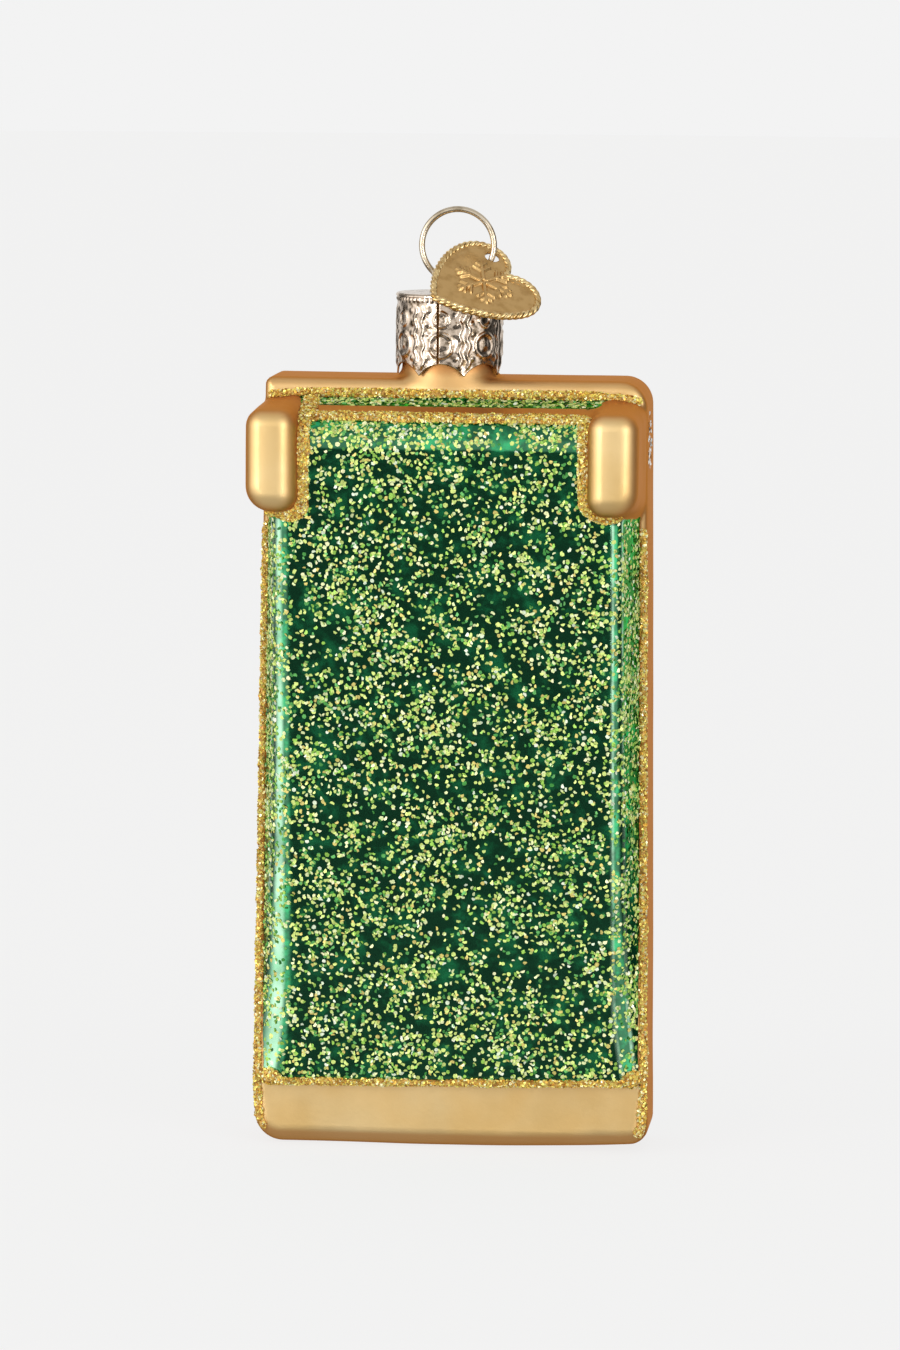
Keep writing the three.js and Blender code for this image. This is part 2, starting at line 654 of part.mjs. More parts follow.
// The lines lie just off the glass, whose form grown by the gap cuts their undersides
const glassWithGap = glassForm(-GLITTER_GAP).add(neckOuter(GLITTER_GAP));

function addGlitterLine(name, points, steps) {
  const line = bar(points, GLITTER_RADIUS, 10, steps).subtract(glassWithGap);
  addMesh(name, toGeometry(line), GLITTER, 0.7, 0.6);
}

addGlitterLine('glitter_line_left', alongEdge(-1), 4);
addGlitterLine('glitter_line_right', alongEdge(1), 4);
addGlitterLine('glitter_line_top', acrossTop(), 30);
addGlitterLine('glitter_line_strip', acrossStrip(), 2);
addGlitterLine('glitter_line_rail', acrossRail(), 2);
addGlitterLine('glitter_line_left_leg', roundLeg(-1), 18);
addGlitterLine('glitter_line_right_leg', roundLeg(1), 18);

export default group;
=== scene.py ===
"""Looks of a blown glass cornhole board ornament, seen from its leg side.

The forms are worked out in millimetres in the frame's own axes, and every mesh is written in metres.
"""

import math

import bpy
import numpy as np
from mathutils import Matrix, Vector


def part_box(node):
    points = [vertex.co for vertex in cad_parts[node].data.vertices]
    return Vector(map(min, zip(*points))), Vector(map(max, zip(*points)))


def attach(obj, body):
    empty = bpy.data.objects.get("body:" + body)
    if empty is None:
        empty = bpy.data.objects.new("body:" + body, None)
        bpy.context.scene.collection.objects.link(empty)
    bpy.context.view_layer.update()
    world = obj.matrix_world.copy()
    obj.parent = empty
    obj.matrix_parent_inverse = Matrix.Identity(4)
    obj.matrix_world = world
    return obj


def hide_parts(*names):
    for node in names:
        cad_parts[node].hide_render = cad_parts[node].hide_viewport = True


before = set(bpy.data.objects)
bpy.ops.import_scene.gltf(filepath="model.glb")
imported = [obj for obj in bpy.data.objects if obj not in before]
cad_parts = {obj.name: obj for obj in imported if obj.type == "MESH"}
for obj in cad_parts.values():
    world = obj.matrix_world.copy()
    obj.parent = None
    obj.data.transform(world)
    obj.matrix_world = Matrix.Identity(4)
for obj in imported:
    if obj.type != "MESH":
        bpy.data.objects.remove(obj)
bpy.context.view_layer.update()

MM = 0.001


def cad_box(node):
    """Lowest and highest corner of a CAD node, in millimetres."""
    low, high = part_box(node)
    return np.array(low) / MM, np.array(high) / MM


GLASS_LOW, GLASS_HIGH = cad_box("glass_body")
BAND_LOW, BAND_HIGH = cad_box("cap_band")

# Glass board
WALL = 1.0
BOARD_HEIGHT = 91.5
BACK_Y = -6.0
DECK_Y = GLASS_HIGH[1]
BOARD_HALF_TOP = 22.5
BOARD_HALF_BASE = 23.6
BOARD_CORNER_TOP_LEFT = 1.0
BOARD_CORNER_TOP_RIGHT = 3.2
BOARD_CORNER_BASE_LEFT = 3.5
BOARD_CORNER_BASE_RIGHT = 2.2
BACK_EDGE_ROUND = 1.2
BASE_EDGE_ROUND = 2.6
BASE_LIFT_RIGHT = 0.8
DECK_EDGE_ROUND = 1.6
DECK_HOLE_RADIUS = 5.85
DECK_HOLE_DEPTH = 2.5
DECK_HOLE_Z = BOARD_HEIGHT - 17.0
HOLE_RIM_ROUND = 0.7
HOLE_FLOOR_ROUND = 0.9
WAVE_DEPTH = 0.05
SMALL_WAVE_SHARE = 0.4

# Box frame on the back
RAIL_HEIGHT = 7.4
FRAME_INSET = 0.8
FRAME_RISE_AT_RAIL = 1.5
FRAME_SLOPE = math.radians(6.8)
FRAME_HALF = 20.3
FRAME_FLARE = 1.6
FRAME_FLARE_HEIGHT = 13.0
FRAME_EDGE_ROUND_LEFT = 2.4
FRAME_EDGE_ROUND_RIGHT = 1.6
FRAME_TOP_DROP = 2.2
FRAME_TOP_SLOPE = math.radians(12.4)
FRAME_TOP_ROUND = 3.0
RAIL_SLANT = 0.02
RAIL_LIFT = 0.85
RAIL_EDGE_ROUND = 0.6

# Legs
LEG_OUTER = 22.6
LEG_WIDTH = 6.0
LEG_INNER = LEG_OUTER - LEG_WIDTH
LEG_END_Y = GLASS_LOW[1]
LEG_ROOT_LOW = BOARD_HEIGHT - 16.6
LEG_ROOT_HIGH = BOARD_HEIGHT - 2.3
LEG_END_LOW = BOARD_HEIGHT - 14.5
LEG_END_HIGH = BOARD_HEIGHT - 2.9
LEG_CORNER = 2.1
LEG_CORNER_LOW_OUTER = 3.0
LEG_END_ROUND = 1.9
LEG_CROWN = 0.5
LEG_SHIFT_LEFT = -0.5
LEG_SHIFT_RIGHT = -0.1
LEG_FILLET = 0.7
BACK_FILLET = 0.25

# Neck, which the crown cap's centre follows
NECK_X = (BAND_LOW[0] + BAND_HIGH[0]) / 2
NECK_Y = (BAND_LOW[1] + BAND_HIGH[1]) / 2
NECK_RADIUS = 5.6
NECK_BORE = 4.7
NECK_TOP = GLASS_HIGH[2]
NECK_LOW = 86.0
NECK_LIP_ROUND = 0.3
NECK_FILLET = 1.2
BORE_FILLET = 0.8

# Painted borders on the glass
STRIP_NEAR = 13.6
STRIP_FAR = 9.4
STRIP_GLITTER_DEPTH = 13.9
DECK_MARGIN = 3.4

GLASS_STEP = 0.45
CAVITY_STEP = 1.2


def lerp(a, b, t):
    return a + (b - a) * t


def full_turn(count):
    """Angles an even step apart, once round."""
    return np.linspace(0, 2 * np.pi, count, endpoint=False)


def turned_axes(yaw, tilt, roll):
    """Right, up and outward of a plane facing out of the back, turned, tilted and rolled."""
    outward = np.array([math.sin(yaw) * math.cos(tilt), -math.cos(yaw) * math.cos(tilt), math.sin(tilt)])
    level = np.array([math.cos(yaw), math.sin(yaw), 0])
    right = level * math.cos(roll) + np.cross(outward, level) * math.sin(roll)
    return right, np.cross(outward, right), outward


def lattice_noise(points, scale, seed):
    """Smooth noise from -1 to 1, with a bump about every scale millimetres."""
    table = np.random.default_rng(seed).uniform(-1, 1, (32, 32, 32))
    place = points / scale
    cell = np.floor(place).astype(int)
    part = place - cell
    part = part * part * (3 - 2 * part)
    total = np.zeros(len(points))
    for corner in np.ndindex(2, 2, 2):
        offset = np.array(corner)
        index = (cell + offset) % 32
        share = np.prod(np.where(offset == 1, part, 1 - part), axis=1)
        total += share * table[index[:, 0], index[:, 1], index[:, 2]]
    return total


def soft_max(a, b, radius):
    """Distance to what two solids share, with their common edge rounded off."""
    out_a = np.maximum(a + radius, 0)
    out_b = np.maximum(b + radius, 0)
    return np.minimum(np.maximum(a, b) + radius, 0) + np.hypot(out_a, out_b) - radius


def soft_min(a, b, radius):
    """Distance to two solids joined with a fillet."""
    return -soft_max(-a, -b, radius)


def board_half(z):
    return lerp(BOARD_HALF_BASE, BOARD_HALF_TOP, z / BOARD_HEIGHT)


def outline_field(x, z):
    """Distance in the board's own plane to its outline."""
    side = np.abs(x) - board_half(z)
    base = BASE_LIFT_RIGHT * np.clip((x + 5) / 28, 0, 1) ** 2
    level = np.maximum(base - z, z - BOARD_HEIGHT)
    top_corner = np.where(x < 0, BOARD_CORNER_TOP_LEFT, BOARD_CORNER_TOP_RIGHT)
    base_corner = np.where(x < 0, BOARD_CORNER_BASE_LEFT, BOARD_CORNER_BASE_RIGHT)
    corner = np.where(z < BOARD_HEIGHT / 2, base_corner, top_corner)
    return soft_max(side, level, corner)


def board_field(x, y, z):
    back_edge = lerp(BASE_EDGE_ROUND, BACK_EDGE_ROUND, np.clip(z / 8, 0, 1))
    edge = np.where(y < 0, back_edge, DECK_EDGE_ROUND)
    return soft_max(outline_field(x, z), np.abs(y) - DECK_Y, edge)


def frame_depth(z):
    return -BACK_Y + FRAME_RISE_AT_RAIL + (z - RAIL_HEIGHT) * math.tan(FRAME_SLOPE)


def frame_half(x, y, z):
    """Half width of the frame, which narrows from its foot on the board to its face."""
    foot = board_half(z) - FRAME_INSET
    flare = np.clip(1 - (z - RAIL_HEIGHT) / FRAME_FLARE_HEIGHT, 0, 1)
    face = FRAME_HALF + FRAME_FLARE * flare ** 2
    rise = np.clip((BACK_Y - y) / (frame_depth(z) + BACK_Y), 0, 1)
    return lerp(foot, np.minimum(face, foot - 0.3), rise)


def frame_edge_round(x):
    return np.where(x < 0, FRAME_EDGE_ROUND_LEFT, FRAME_EDGE_ROUND_RIGHT)


def frame_edge_turn(points):
    """How far round the frame's side edge: 0 on the face, 1 on the side wall, below 0 on the left."""
    x, y, z = points.T
    radius = frame_edge_round(x)
    from_side = np.clip(radius - (frame_half(x, y, z) - np.abs(x)), 0, None)
    from_face = np.clip(radius - (frame_depth(z) + y), 0, None)
    return np.sign(x) * np.arctan2(from_side, from_face + 1e-6) / (math.pi / 2)


def rail_line(x):
    """Height of the frame's lower end, which the glass blower set a little aslant."""
    return RAIL_HEIGHT + RAIL_LIFT + RAIL_SLANT * x


def frame_wall(y):
    """Height of the frame's top wall, which falls away from the board."""
    return BOARD_HEIGHT - FRAME_TOP_DROP - (BACK_Y - y) * math.tan(FRAME_TOP_SLOPE)


def frame_field(x, y, z):
    depth = -y
    face = (depth - frame_depth(z)) * math.cos(FRAME_SLOPE)
    side = np.abs(x) - frame_half(x, y, z)
    top = (z - frame_wall(y)) * math.cos(FRAME_TOP_SLOPE)
    form = soft_max(soft_max(face, side, frame_edge_round(x)), top, FRAME_TOP_ROUND)
    form = soft_max(form, rail_line(x) - z, RAIL_EDGE_ROUND)
    return np.maximum(form, -BACK_Y - WALL - depth)


def leg_field(x, y, z):
    share = (y - BACK_Y) / (LEG_END_Y - BACK_Y)
    low = lerp(LEG_ROOT_LOW, LEG_END_LOW, share)
    high = lerp(LEG_ROOT_HIGH, LEG_END_HIGH, share)
    across = np.abs(x - np.where(x < 0, LEG_SHIFT_LEFT, LEG_SHIFT_RIGHT)) - (LEG_OUTER + LEG_INNER) / 2
    corner = np.where((across > 0) & (2 * z < low + high), LEG_CORNER_LOW_OUTER, LEG_CORNER)
    outline = soft_max(np.abs(across) - LEG_WIDTH / 2, np.maximum(low - z, z - high), corner)
    end = LEG_END_Y + LEG_CROWN * (across / (LEG_WIDTH / 2)) ** 2 - y
    return np.maximum(soft_max(outline, end, LEG_END_ROUND), y - BACK_Y - WALL)


def shell_field(x, y, z):
    """The glass without its neck and dimple."""
    back = soft_min(frame_field(x, y, z), leg_field(x, y, z), LEG_FILLET)
    return soft_min(board_field(x, y, z), back, BACK_FILLET)


def dimple_field(x, y, z):
    across = np.hypot(x, z - DECK_HOLE_Z) - DECK_HOLE_RADIUS
    return soft_max(across, DECK_Y - DECK_HOLE_DEPTH - y, HOLE_FLOOR_ROUND)


def glass_field(points):
    """Distance to the outer surface of the glass, with the slight waves of hand blowing."""
    x, y, z = points.T
    neck = soft_max(np.hypot(x - NECK_X, y - NECK_Y) - NECK_RADIUS, z - NECK_TOP, NECK_LIP_ROUND)
    neck = np.maximum(neck, NECK_LOW - z)
    form = soft_min(shell_field(x, y, z), neck, NECK_FILLET)
    form = soft_max(form, -dimple_field(x, y, z), HOLE_RIM_ROUND)
    waves = lattice_noise(points, 14.0, 3) + SMALL_WAVE_SHARE * lattice_noise(points, 6.0, 4)
    return form + WAVE_DEPTH * (1 + SMALL_WAVE_SHARE + waves)


def cavity_field(points):
    """Distance to the inner surface: the hollow of the board and the bore of the neck."""
    x, y, z = points.T
    hollow = shell_field(x, y, z) + WALL
    hollow = soft_max(hollow, WALL - dimple_field(x, y, z), HOLE_RIM_ROUND)
    bore = np.hypot(x - NECK_X, y - NECK_Y) - NECK_BORE
    bore = np.maximum(np.maximum(bore, NECK_LOW - 4 - z), z - NECK_TOP - 2)
    return soft_min(hollow, bore, BORE_FILLET)


def gradient(points, field, reach=0.03):
    slopes = []
    for axis in range(3):
        move = np.zeros(3)
        move[axis] = reach
        slopes.append((field(points + move) - field(points - move)) / (2 * reach))
    return np.stack(slopes, axis=1)


def unit(vectors):
    return vectors / np.maximum(np.linalg.norm(vectors, axis=1, keepdims=True), 1e-9)


def onto_surface(points, field, rounds=3):
    """Moves points along the field's slope until they lie on its zero level."""
    for _ in range(rounds):
        slope = gradient(points, field)
        steepness = np.maximum((slope ** 2).sum(1), 0.3)
        move = np.clip(field(points) / steepness, -0.4, 0.4)
        points = points - move[:, None] * slope
    return points


def surface_net(field, low, high, step):
    """Closed skin of quads on the zero level of a field inside a box."""
    axes = [np.arange(low[a] - 2 * step, high[a] + 3 * step, step) for a in range(3)]
    grid = np.stack(np.meshgrid(*axes, indexing="ij"), axis=-1)
    shape = grid.shape[:3]
    values = field(grid.reshape(-1, 3)).reshape(shape)
    inside = values < 0
    cells = tuple(size - 1 for size in shape)
    count = np.zeros(cells, int)
    for i, j, k in np.ndindex(2, 2, 2):
        count += inside[i:i + cells[0], j:j + cells[1], k:k + cells[2]]
    mixed = np.argwhere((count > 0) & (count < 8))
    number = np.full(cells, -1)
    number[tuple(mixed.T)] = np.arange(len(mixed))
    total = np.zeros((len(mixed), 3))
    hits = np.zeros(len(mixed))
    moves = np.eye(3, dtype=int)
    for axis in range(3):
        along, next_b, next_c = np.roll(moves, -axis, axis=0)
        for b, c in np.ndindex(2, 2):
            start = b * next_b + c * next_c
            first = values[tuple((mixed + start).T)]
            second = values[tuple((mixed + start + along).T)]
            crossed = (first < 0) != (second < 0)
            share = np.where(crossed, first / np.where(crossed, first - second, 1), 0)
            total += np.where(crossed[:, None], start + share[:, None] * along, 0)
            hits += crossed
    corner = np.array([line[0] for line in axes])
    vertices = corner + step * (mixed + total / hits[:, None])
    quads = []
    for axis in range(3):
        along, next_b, next_c = np.roll(moves, -axis, axis=0)
        size = np.array(shape) - along
        here = inside[:size[0], :size[1], :size[2]]
        there = inside[along[0]:, along[1]:, along[2]:]
        for outward in (True, False):
            crossing = here & ~there if outward else ~here & there
            node = np.argwhere(crossing)
            shifts = (next_b + next_c, next_c, 0 * next_b, next_b)
            ring = [number[tuple((node - shift).T)] for shift in shifts]
            quads.append(np.stack(ring if outward else ring[::-1], axis=1))
    return onto_surface(vertices, field), np.concatenate(quads)


def ring_faces(rings, sides, flip=False, closed=False):
    """Quads between rings that follow one another, with the same number of points in each."""
    faces = []
    for row in range(rings if closed else rings - 1):
        for i in range(sides):
            a, b = row * sides + i, row * sides + (i + 1) % sides
            next_a, next_b = ((point + sides) % (rings * sides) for point in (a, b))
            faces.append([a, b, next_b, next_a] if flip else [a, next_a, next_b, b])
    return faces


def bar_faces(rings, sides, flip=True):
    """Faces of a closed bar: its sides, and then both ends."""
    last = (rings - 1) * sides
    ends = [list(range(sides))[::-1], list(range(last, last + sides))]
    return ring_faces(rings, sides, flip) + (ends if flip else [end[::-1] for end in ends])


def linked(name, data):
    """A new object in the scene."""
    piece = bpy.data.objects.new(name, data)
    bpy.context.scene.collection.objects.link(piece)
    return piece


def to_object(name, vertices, faces, materials, smooth=True, face_material=None):
    """A mesh object in metres from vertices in millimetres."""
    mesh = bpy.data.meshes.new(name)
    face_list = faces.tolist() if hasattr(faces, "tolist") else faces
    mesh.from_pydata((np.asarray(vertices) * MM).tolist(), [], face_list)
    for material in materials:
        mesh.materials.append(material)
    mesh.polygons.foreach_set("use_smooth", np.full(len(mesh.polygons), smooth))
    if face_material is not None:
        mesh.polygons.foreach_set("material_index", np.asarray(face_material, np.int32))
    mesh.update()
    return linked(name, mesh)


def set_colors(piece, colors):
    """The colour of each vertex, which the glitter shows."""
    attribute = piece.data.attributes.new("flake_color", "FLOAT_COLOR", "POINT")
    rgba = np.concatenate([colors, np.ones((len(colors), 1))], axis=1)
    attribute.data.foreach_set("color", rgba.astype(np.float32).ravel())


def cut(piece, cutter):
    """Takes one closed mesh away from another, and removes the cutter."""
    modifier = piece.modifiers.new("cut", "BOOLEAN")
    modifier.operation = "DIFFERENCE"
    modifier.solver = "MANIFOLD"
    modifier.object = cutter
    graph = bpy.context.evaluated_depsgraph_get()
    mesh = bpy.data.meshes.new_from_object(piece.evaluated_get(graph))
    piece.modifiers.clear()
    piece.data = mesh
    bpy.data.objects.remove(cutter)


def finish_piece(piece, body, slot, *nodes):
    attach(piece, body)
    if nodes:
        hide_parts(*nodes)


# Colour, in linear light
def from_screen(red, green, blue):
    """Linear colour of a colour given as it looks on screen, from 0 to 255."""
    shares = np.array([red, green, blue]) / 255
    return np.where(shares <= 0.04045, shares / 12.92, ((shares + 0.055) / 1.055) ** 2.4)


class Nodes:
    """Short calls for building the nodes of a material or world."""

    def __init__(self, owner):
        owner.use_nodes = True
        self.owner = owner
        self.tree = owner.node_tree
        self.shader = self.tree.nodes.get("Principled BSDF")

    def put(self, socket, value):
        if isinstance(value, bpy.types.NodeSocket):
            self.tree.links.new(value, socket)
        elif socket.type == "RGBA":
            socket.default_value = (*[float(share) for share in value], 1.0)
        else:
            socket.default_value = value

    def add(self, kind, inputs, **settings):
        node = self.tree.nodes.new(kind)
        for name, value in settings.items():
            setattr(node, name, value)
        for name, value in inputs.items():
            self.put(node.inputs[name], value)
        return node

    def set(self, **values):
        for name, value in values.items():
            self.put(self.shader.inputs[name.replace("_", " ")], value)

    def noise(self, scale_mm, detail=2.0, roughness=0.5):
        place = self.add("ShaderNodeTexCoord", {}).outputs["Object"]
        inputs = {"Vector": place, "Scale": 1 / (scale_mm * MM), "Detail": detail, "Roughness": roughness}
        return self.add("ShaderNodeTexNoise", inputs).outputs["Fac"]

    def span(self, value, low, high, to_low=0.0, to_high=1.0, curve="LINEAR"):
        inputs = {"Value": value, "From Min": low, "From Max": high, "To Min": to_low, "To Max": to_high}
        return self.add("ShaderNodeMapRange", inputs, interpolation_type=curve).outputs["Result"]

    def ease(self, value, low, high, to_low=0.0, to_high=1.0):
        """A span that starts and ends softly."""
        return self.span(value, low, high, to_low, to_high, "SMOOTHSTEP")

    def mottle(self, scale_mm, detail, low, high):
        """Noise that is spread from low to high."""
        return self.span(self.noise(scale_mm, detail), 0.3, 0.7, low, high)

    def math(self, operation, first, *others):
        for other in others:
            first = self.add("ShaderNodeMath", {0: first, 1: other}, operation=operation).outputs[0]
        return first

    def times(self, *values):
        return self.math("MULTIPLY", *values)

    def largest(self, *values):
        return self.math("MAXIMUM", *values)

    def mix(self, share, first, second):
        """A colour between two others."""
        inputs = {"Factor": share, 6: first, 7: second}
        return self.add("ShaderNodeMix", inputs, data_type="RGBA").outputs[2]

    def attribute(self, name, output="Fac"):
        return self.add("ShaderNodeAttribute", {}, attribute_name=name).outputs[output]

    def bump(self, height, distance_mm):
        inputs = {"Strength": 1.0, "Distance": distance_mm * MM, "Height": height}
        self.put(self.shader.inputs["Normal"], self.add("ShaderNodeBump", inputs).outputs["Normal"])


# Lacquers
GOLD_PALE = (0.88, 0.65, 0.32)
GOLD_WARM = (0.80, 0.55, 0.23)
# Darker orange gold, painted as shade on side walls, tops, under the cap and under the base
GOLD_SHADE = (0.62, 0.30, 0.10)
GOLD_SHEEN = (0.75, 0.42, 0.20)
GREEN_DEEP = (0.012, 0.15, 0.06)
GREEN_BRIGHT = (0.03, 0.52, 0.19)
# Pale mint painted as highlights on the frame's rounded edges
GREEN_HIGHLIGHT = (0.50, 0.90, 0.62)
GREEN_SHEEN = (0.9, 1.0, 0.9)
GREEN_WALL_SHEEN = (0.25, 0.75, 0.25)


def lacquered_glass():
    """Satin gold lacquer, and green where the green attribute is above zero."""
    nodes = Nodes(bpy.data.materials.new("lacquered_glass"))
    wobble = nodes.span(nodes.noise(1.6), 0, 1, -0.16, 0.16)
    border = nodes.math("ADD", nodes.attribute("green"), wobble)
    green = nodes.span(border, -0.03, 0.03)
    gold = nodes.mix(nodes.span(nodes.noise(9.0, 3.0), 0.35, 0.65), GOLD_PALE, GOLD_WARM)
    # Painted shade: blends toward the darker orange gold on side walls, tops, under the cap and under the
    # base
    gold = nodes.mix(nodes.ease(nodes.attribute("sideways"), 0.03, 0.62), gold, GOLD_SHADE)
    patches = nodes.ease(nodes.noise(2.6, 3.0, 0.6), 0.46, 0.70)
    leaf = nodes.mix(patches, GREEN_DEEP, GREEN_BRIGHT)
    edge = nodes.attribute("edge_turn")
    # Painted highlight: a wide pale band round the frame's left edge and two narrow lines round its right
    # edge, broken into streaks by noise
    left_highlight = nodes.times(nodes.ease(edge, -0.30, -0.45), nodes.span(edge, -0.85, -0.62, 0.15, 1.0))
    right_near_highlight = nodes.times(nodes.span(edge, 0.14, 0.24), nodes.span(edge, 0.38, 0.28))
    right_far_highlight = nodes.times(nodes.span(edge, 0.72, 0.80), nodes.span(edge, 0.96, 0.88))
    highlight_streaks = nodes.span(nodes.noise(4.0), 0.3, 0.6, 0.45, 1.0)
    edge_highlight = nodes.times(nodes.largest(left_highlight, right_near_highlight, right_far_highlight), highlight_streaks)
    leaf = nodes.mix(edge_highlight, leaf, GREEN_HIGHLIGHT)
    on_wall = nodes.largest(nodes.span(edge, 0.7, 1.0), nodes.span(nodes.attribute("upward"), 0.3, 0.8))
    green_sheen = nodes.mix(on_wall, GREEN_SHEEN, GREEN_WALL_SHEEN)
    nodes.set(
        Base_Color=nodes.mix(green, gold, leaf),
        Metallic=0.92,
        Roughness=nodes.times(nodes.mottle(5.0, 4.0, 0.42, 0.52), nodes.span(green, 0, 1, 1.0, 0.35)),
        Specular_Tint=nodes.mix(green, GOLD_SHEEN, green_sheen),
        Coat_Weight=nodes.times(nodes.span(green, 0, 1, 0.03, 0.9), nodes.span(on_wall, 0, 1, 1.0, 0.15)),
        Coat_Roughness=nodes.span(green, 0, 1, 0.25, 0.05),
    )
    waves = nodes.times(nodes.noise(3.2), nodes.span(green, 0, 1, 0.15, 1.0))
    nodes.bump(nodes.math("ADD", waves, nodes.times(nodes.noise(0.5, 3.0), 0.10)), 0.12)
    return nodes.owner


def glitter(name, roughness, metallic):
    """Flakes, each with its own colour."""
    nodes = Nodes(bpy.data.materials.new(name))
    tint = {0: nodes.attribute("flake_color", "Color"), "Scale": nodes.mottle(0.2, 1.0, 0.75, 1.1)}
    nodes.set(
        Base_Color=nodes.add("ShaderNodeVectorMath", tint, operation="SCALE").outputs[0],
        Metallic=metallic,
        Roughness=nodes.mottle(0.3, 1.0, roughness - 0.08, roughness + 0.08),
    )
    return nodes.owner


def glue():
    """Amber glue between the gold flakes."""
    nodes = Nodes(bpy.data.materials.new("glitter_glue"))
    tone = nodes.span(nodes.noise(0.35, 3.0, 0.6), 0.35, 0.65)
    nodes.set(
        Base_Color=nodes.mix(tone, from_screen(150, 104, 40), from_screen(228, 186, 98)),
        Metallic=0.4,
        Roughness=nodes.mottle(0.5, 2.0, 0.3, 0.55),
    )
    nodes.bump(nodes.noise(0.25, 3.0), 0.06)
    return nodes.owner


def plated_metal(name, light, dark, grain_mm, smoothest, roughest, bump_mm):
    """Plated or stamped metal with patches of darker film."""
    nodes = Nodes(bpy.data.materials.new(name))
    film = nodes.ease(nodes.noise(grain_mm, 4.0, 0.6), 0.42, 0.68)
    nodes.set(
        Base_Color=nodes.mix(film, light, dark),
        Metallic=1.0,
        Roughness=nodes.mottle(grain_mm * 0.7, 3.0, smoothest, roughest),
    )
    nodes.bump(nodes.noise(grain_mm * 0.5, 3.0), bump_mm)
    return nodes.owner


# Glitter flakes
FLAKE_SIDES = 6
FLAKE_LIFT = 0.03
FLAKE_ROOT_DEPTH = 0.08
FLAKE_SHADES = 0.25
LOOSE_FLAKE_RADII = (0.20, 0.31)
LOOSE_FLAKE_TILT = 32
LINE_FLAKE_RADII = (0.13, 0.22)
LINE_FLAKE_TILT = 55

# Each kind of flake: its share, and its colour as it looks on screen
GREEN_FLAKES = [
    (36, (214, 234, 132)),
    (18, (236, 248, 184)),
    (18, (150, 200, 82)),
    (9, (62, 142, 60)),
    (8, (222, 206, 116)),
    (5, (228, 244, 214)),
    (8, (96, 176, 92)),
]
GOLD_FLAKES = [
    (42, (252, 226, 116)),
    (18, (255, 246, 190)),
    (20, (236, 184, 76)),
    (12, (176, 120, 48)),
    (10, (214, 208, 112)),
]
SILVER_FLAKES = [
    (55, (240, 240, 235)),
    (30, (200, 200, 196)),
    (15, (150, 145, 140)),
]


def flake_mesh(points, normals, radii, tilt, rng):
    """Flat six-sided flakes that end in a point below, each closed. Gives vertices and faces."""
    count = len(points)
    sides = FLAKE_SIDES
    loose = unit(rng.normal(size=(count, 3)))
    lean = np.tan(np.radians(rng.uniform(0, 1, count) ** 0.7 * tilt))
    across = unit(np.cross(normals, loose))
    facing = unit(normals + across * lean[:, None])
    side_u = unit(np.cross(facing, loose + 0.01))
    side_v = np.cross(facing, side_u)
    turn = full_turn(sides)
    uneven = rng.uniform(0.82, 1.12, (count, sides)) * radii[:, None]
    circle_u = (np.cos(turn) * uneven)[..., None] * side_u[:, None, :]
    circle_v = (np.sin(turn) * uneven)[..., None] * side_v[:, None, :]
    rim = (points + facing * FLAKE_LIFT)[:, None, :] + circle_u + circle_v
    tip = (points - facing * FLAKE_ROOT_DEPTH)[:, None, :]
    vertices = np.concatenate([rim, tip], axis=1).reshape(-1, 3)
    faces = []
    for start in range(0, count * (sides + 1), sides + 1):
        faces.append([start + i for i in range(sides)])
        for i in range(sides):
            faces.append([start + (i + 1) % sides, start + i, start + sides])
    return vertices, faces


def flake_colors(count, kinds, rng):
    """Colours for the vertices of some flakes, each flake a little lighter or darker than its kind."""
    shares = np.array([share for share, _ in kinds])
    palette = np.array([from_screen(*color) for _, color in kinds])
    colors = palette[rng.choice(len(kinds), count, p=shares / shares.sum())]
    colors = np.clip(colors * rng.uniform(1 - FLAKE_SHADES, 1 + FLAKE_SHADES, (count, 1)), 0, 1)
    return np.repeat(colors, FLAKE_SIDES + 1, axis=0)


def corner_triangles(faces):
    """Quads as pairs of triangles."""
    faces = np.asarray(faces)
    return np.concatenate([faces[:, [0, 1, 2]], faces[:, [0, 2, 3]]])


def middles_and_areas(vertices, triangles):
    a, b, c = (vertices[triangles[:, i]] for i in range(3))
    return (a + b + c) / 3, np.linalg.norm(np.cross(b - a, c - a), axis=1) / 2


def scatter(vertices, triangles, weight, count, rng):
    """Random points on triangles, by area times weight(points)."""
    middles, area = middles_and_areas(vertices, triangles)
    odds = area * np.maximum(weight(middles), 0)
    chosen = triangles[rng.choice(len(triangles), count, p=odds / odds.sum())]
    a, b, c = (vertices[chosen[:, i]] for i in range(3))
    shares = rng.uniform(size=(2, count))
    u, v = np.where(shares.sum(0) > 1, 1 - shares, shares)[..., None]
    return a + u * (b - a) + v * (c - a)


def green_area(points):
    """Distance inside the green paint, below zero on gold."""
    x, y, z = points.T
    back = np.minimum(z - rail_line(x) - 0.35, BACK_Y - 0.25 - y)
    back = np.minimum(back, leg_field(x, y, z) - 0.25)
    back = np.minimum(back, frame_wall(y) + 0.3 - z)
    strip = np.maximum(STRIP_FAR + y, -y - STRIP_NEAR)
    back = np.where(z > BOARD_HEIGHT - 6, np.minimum(back, strip), back)
    deck = np.minimum(-outline_field(x, z) - DECK_MARGIN, y - DECK_Y / 2)
    deck = np.minimum(deck, np.hypot(x, z - DECK_HOLE_Z) - DECK_HOLE_RADIUS - 0.9)
    return np.where(y < 0, back, deck)


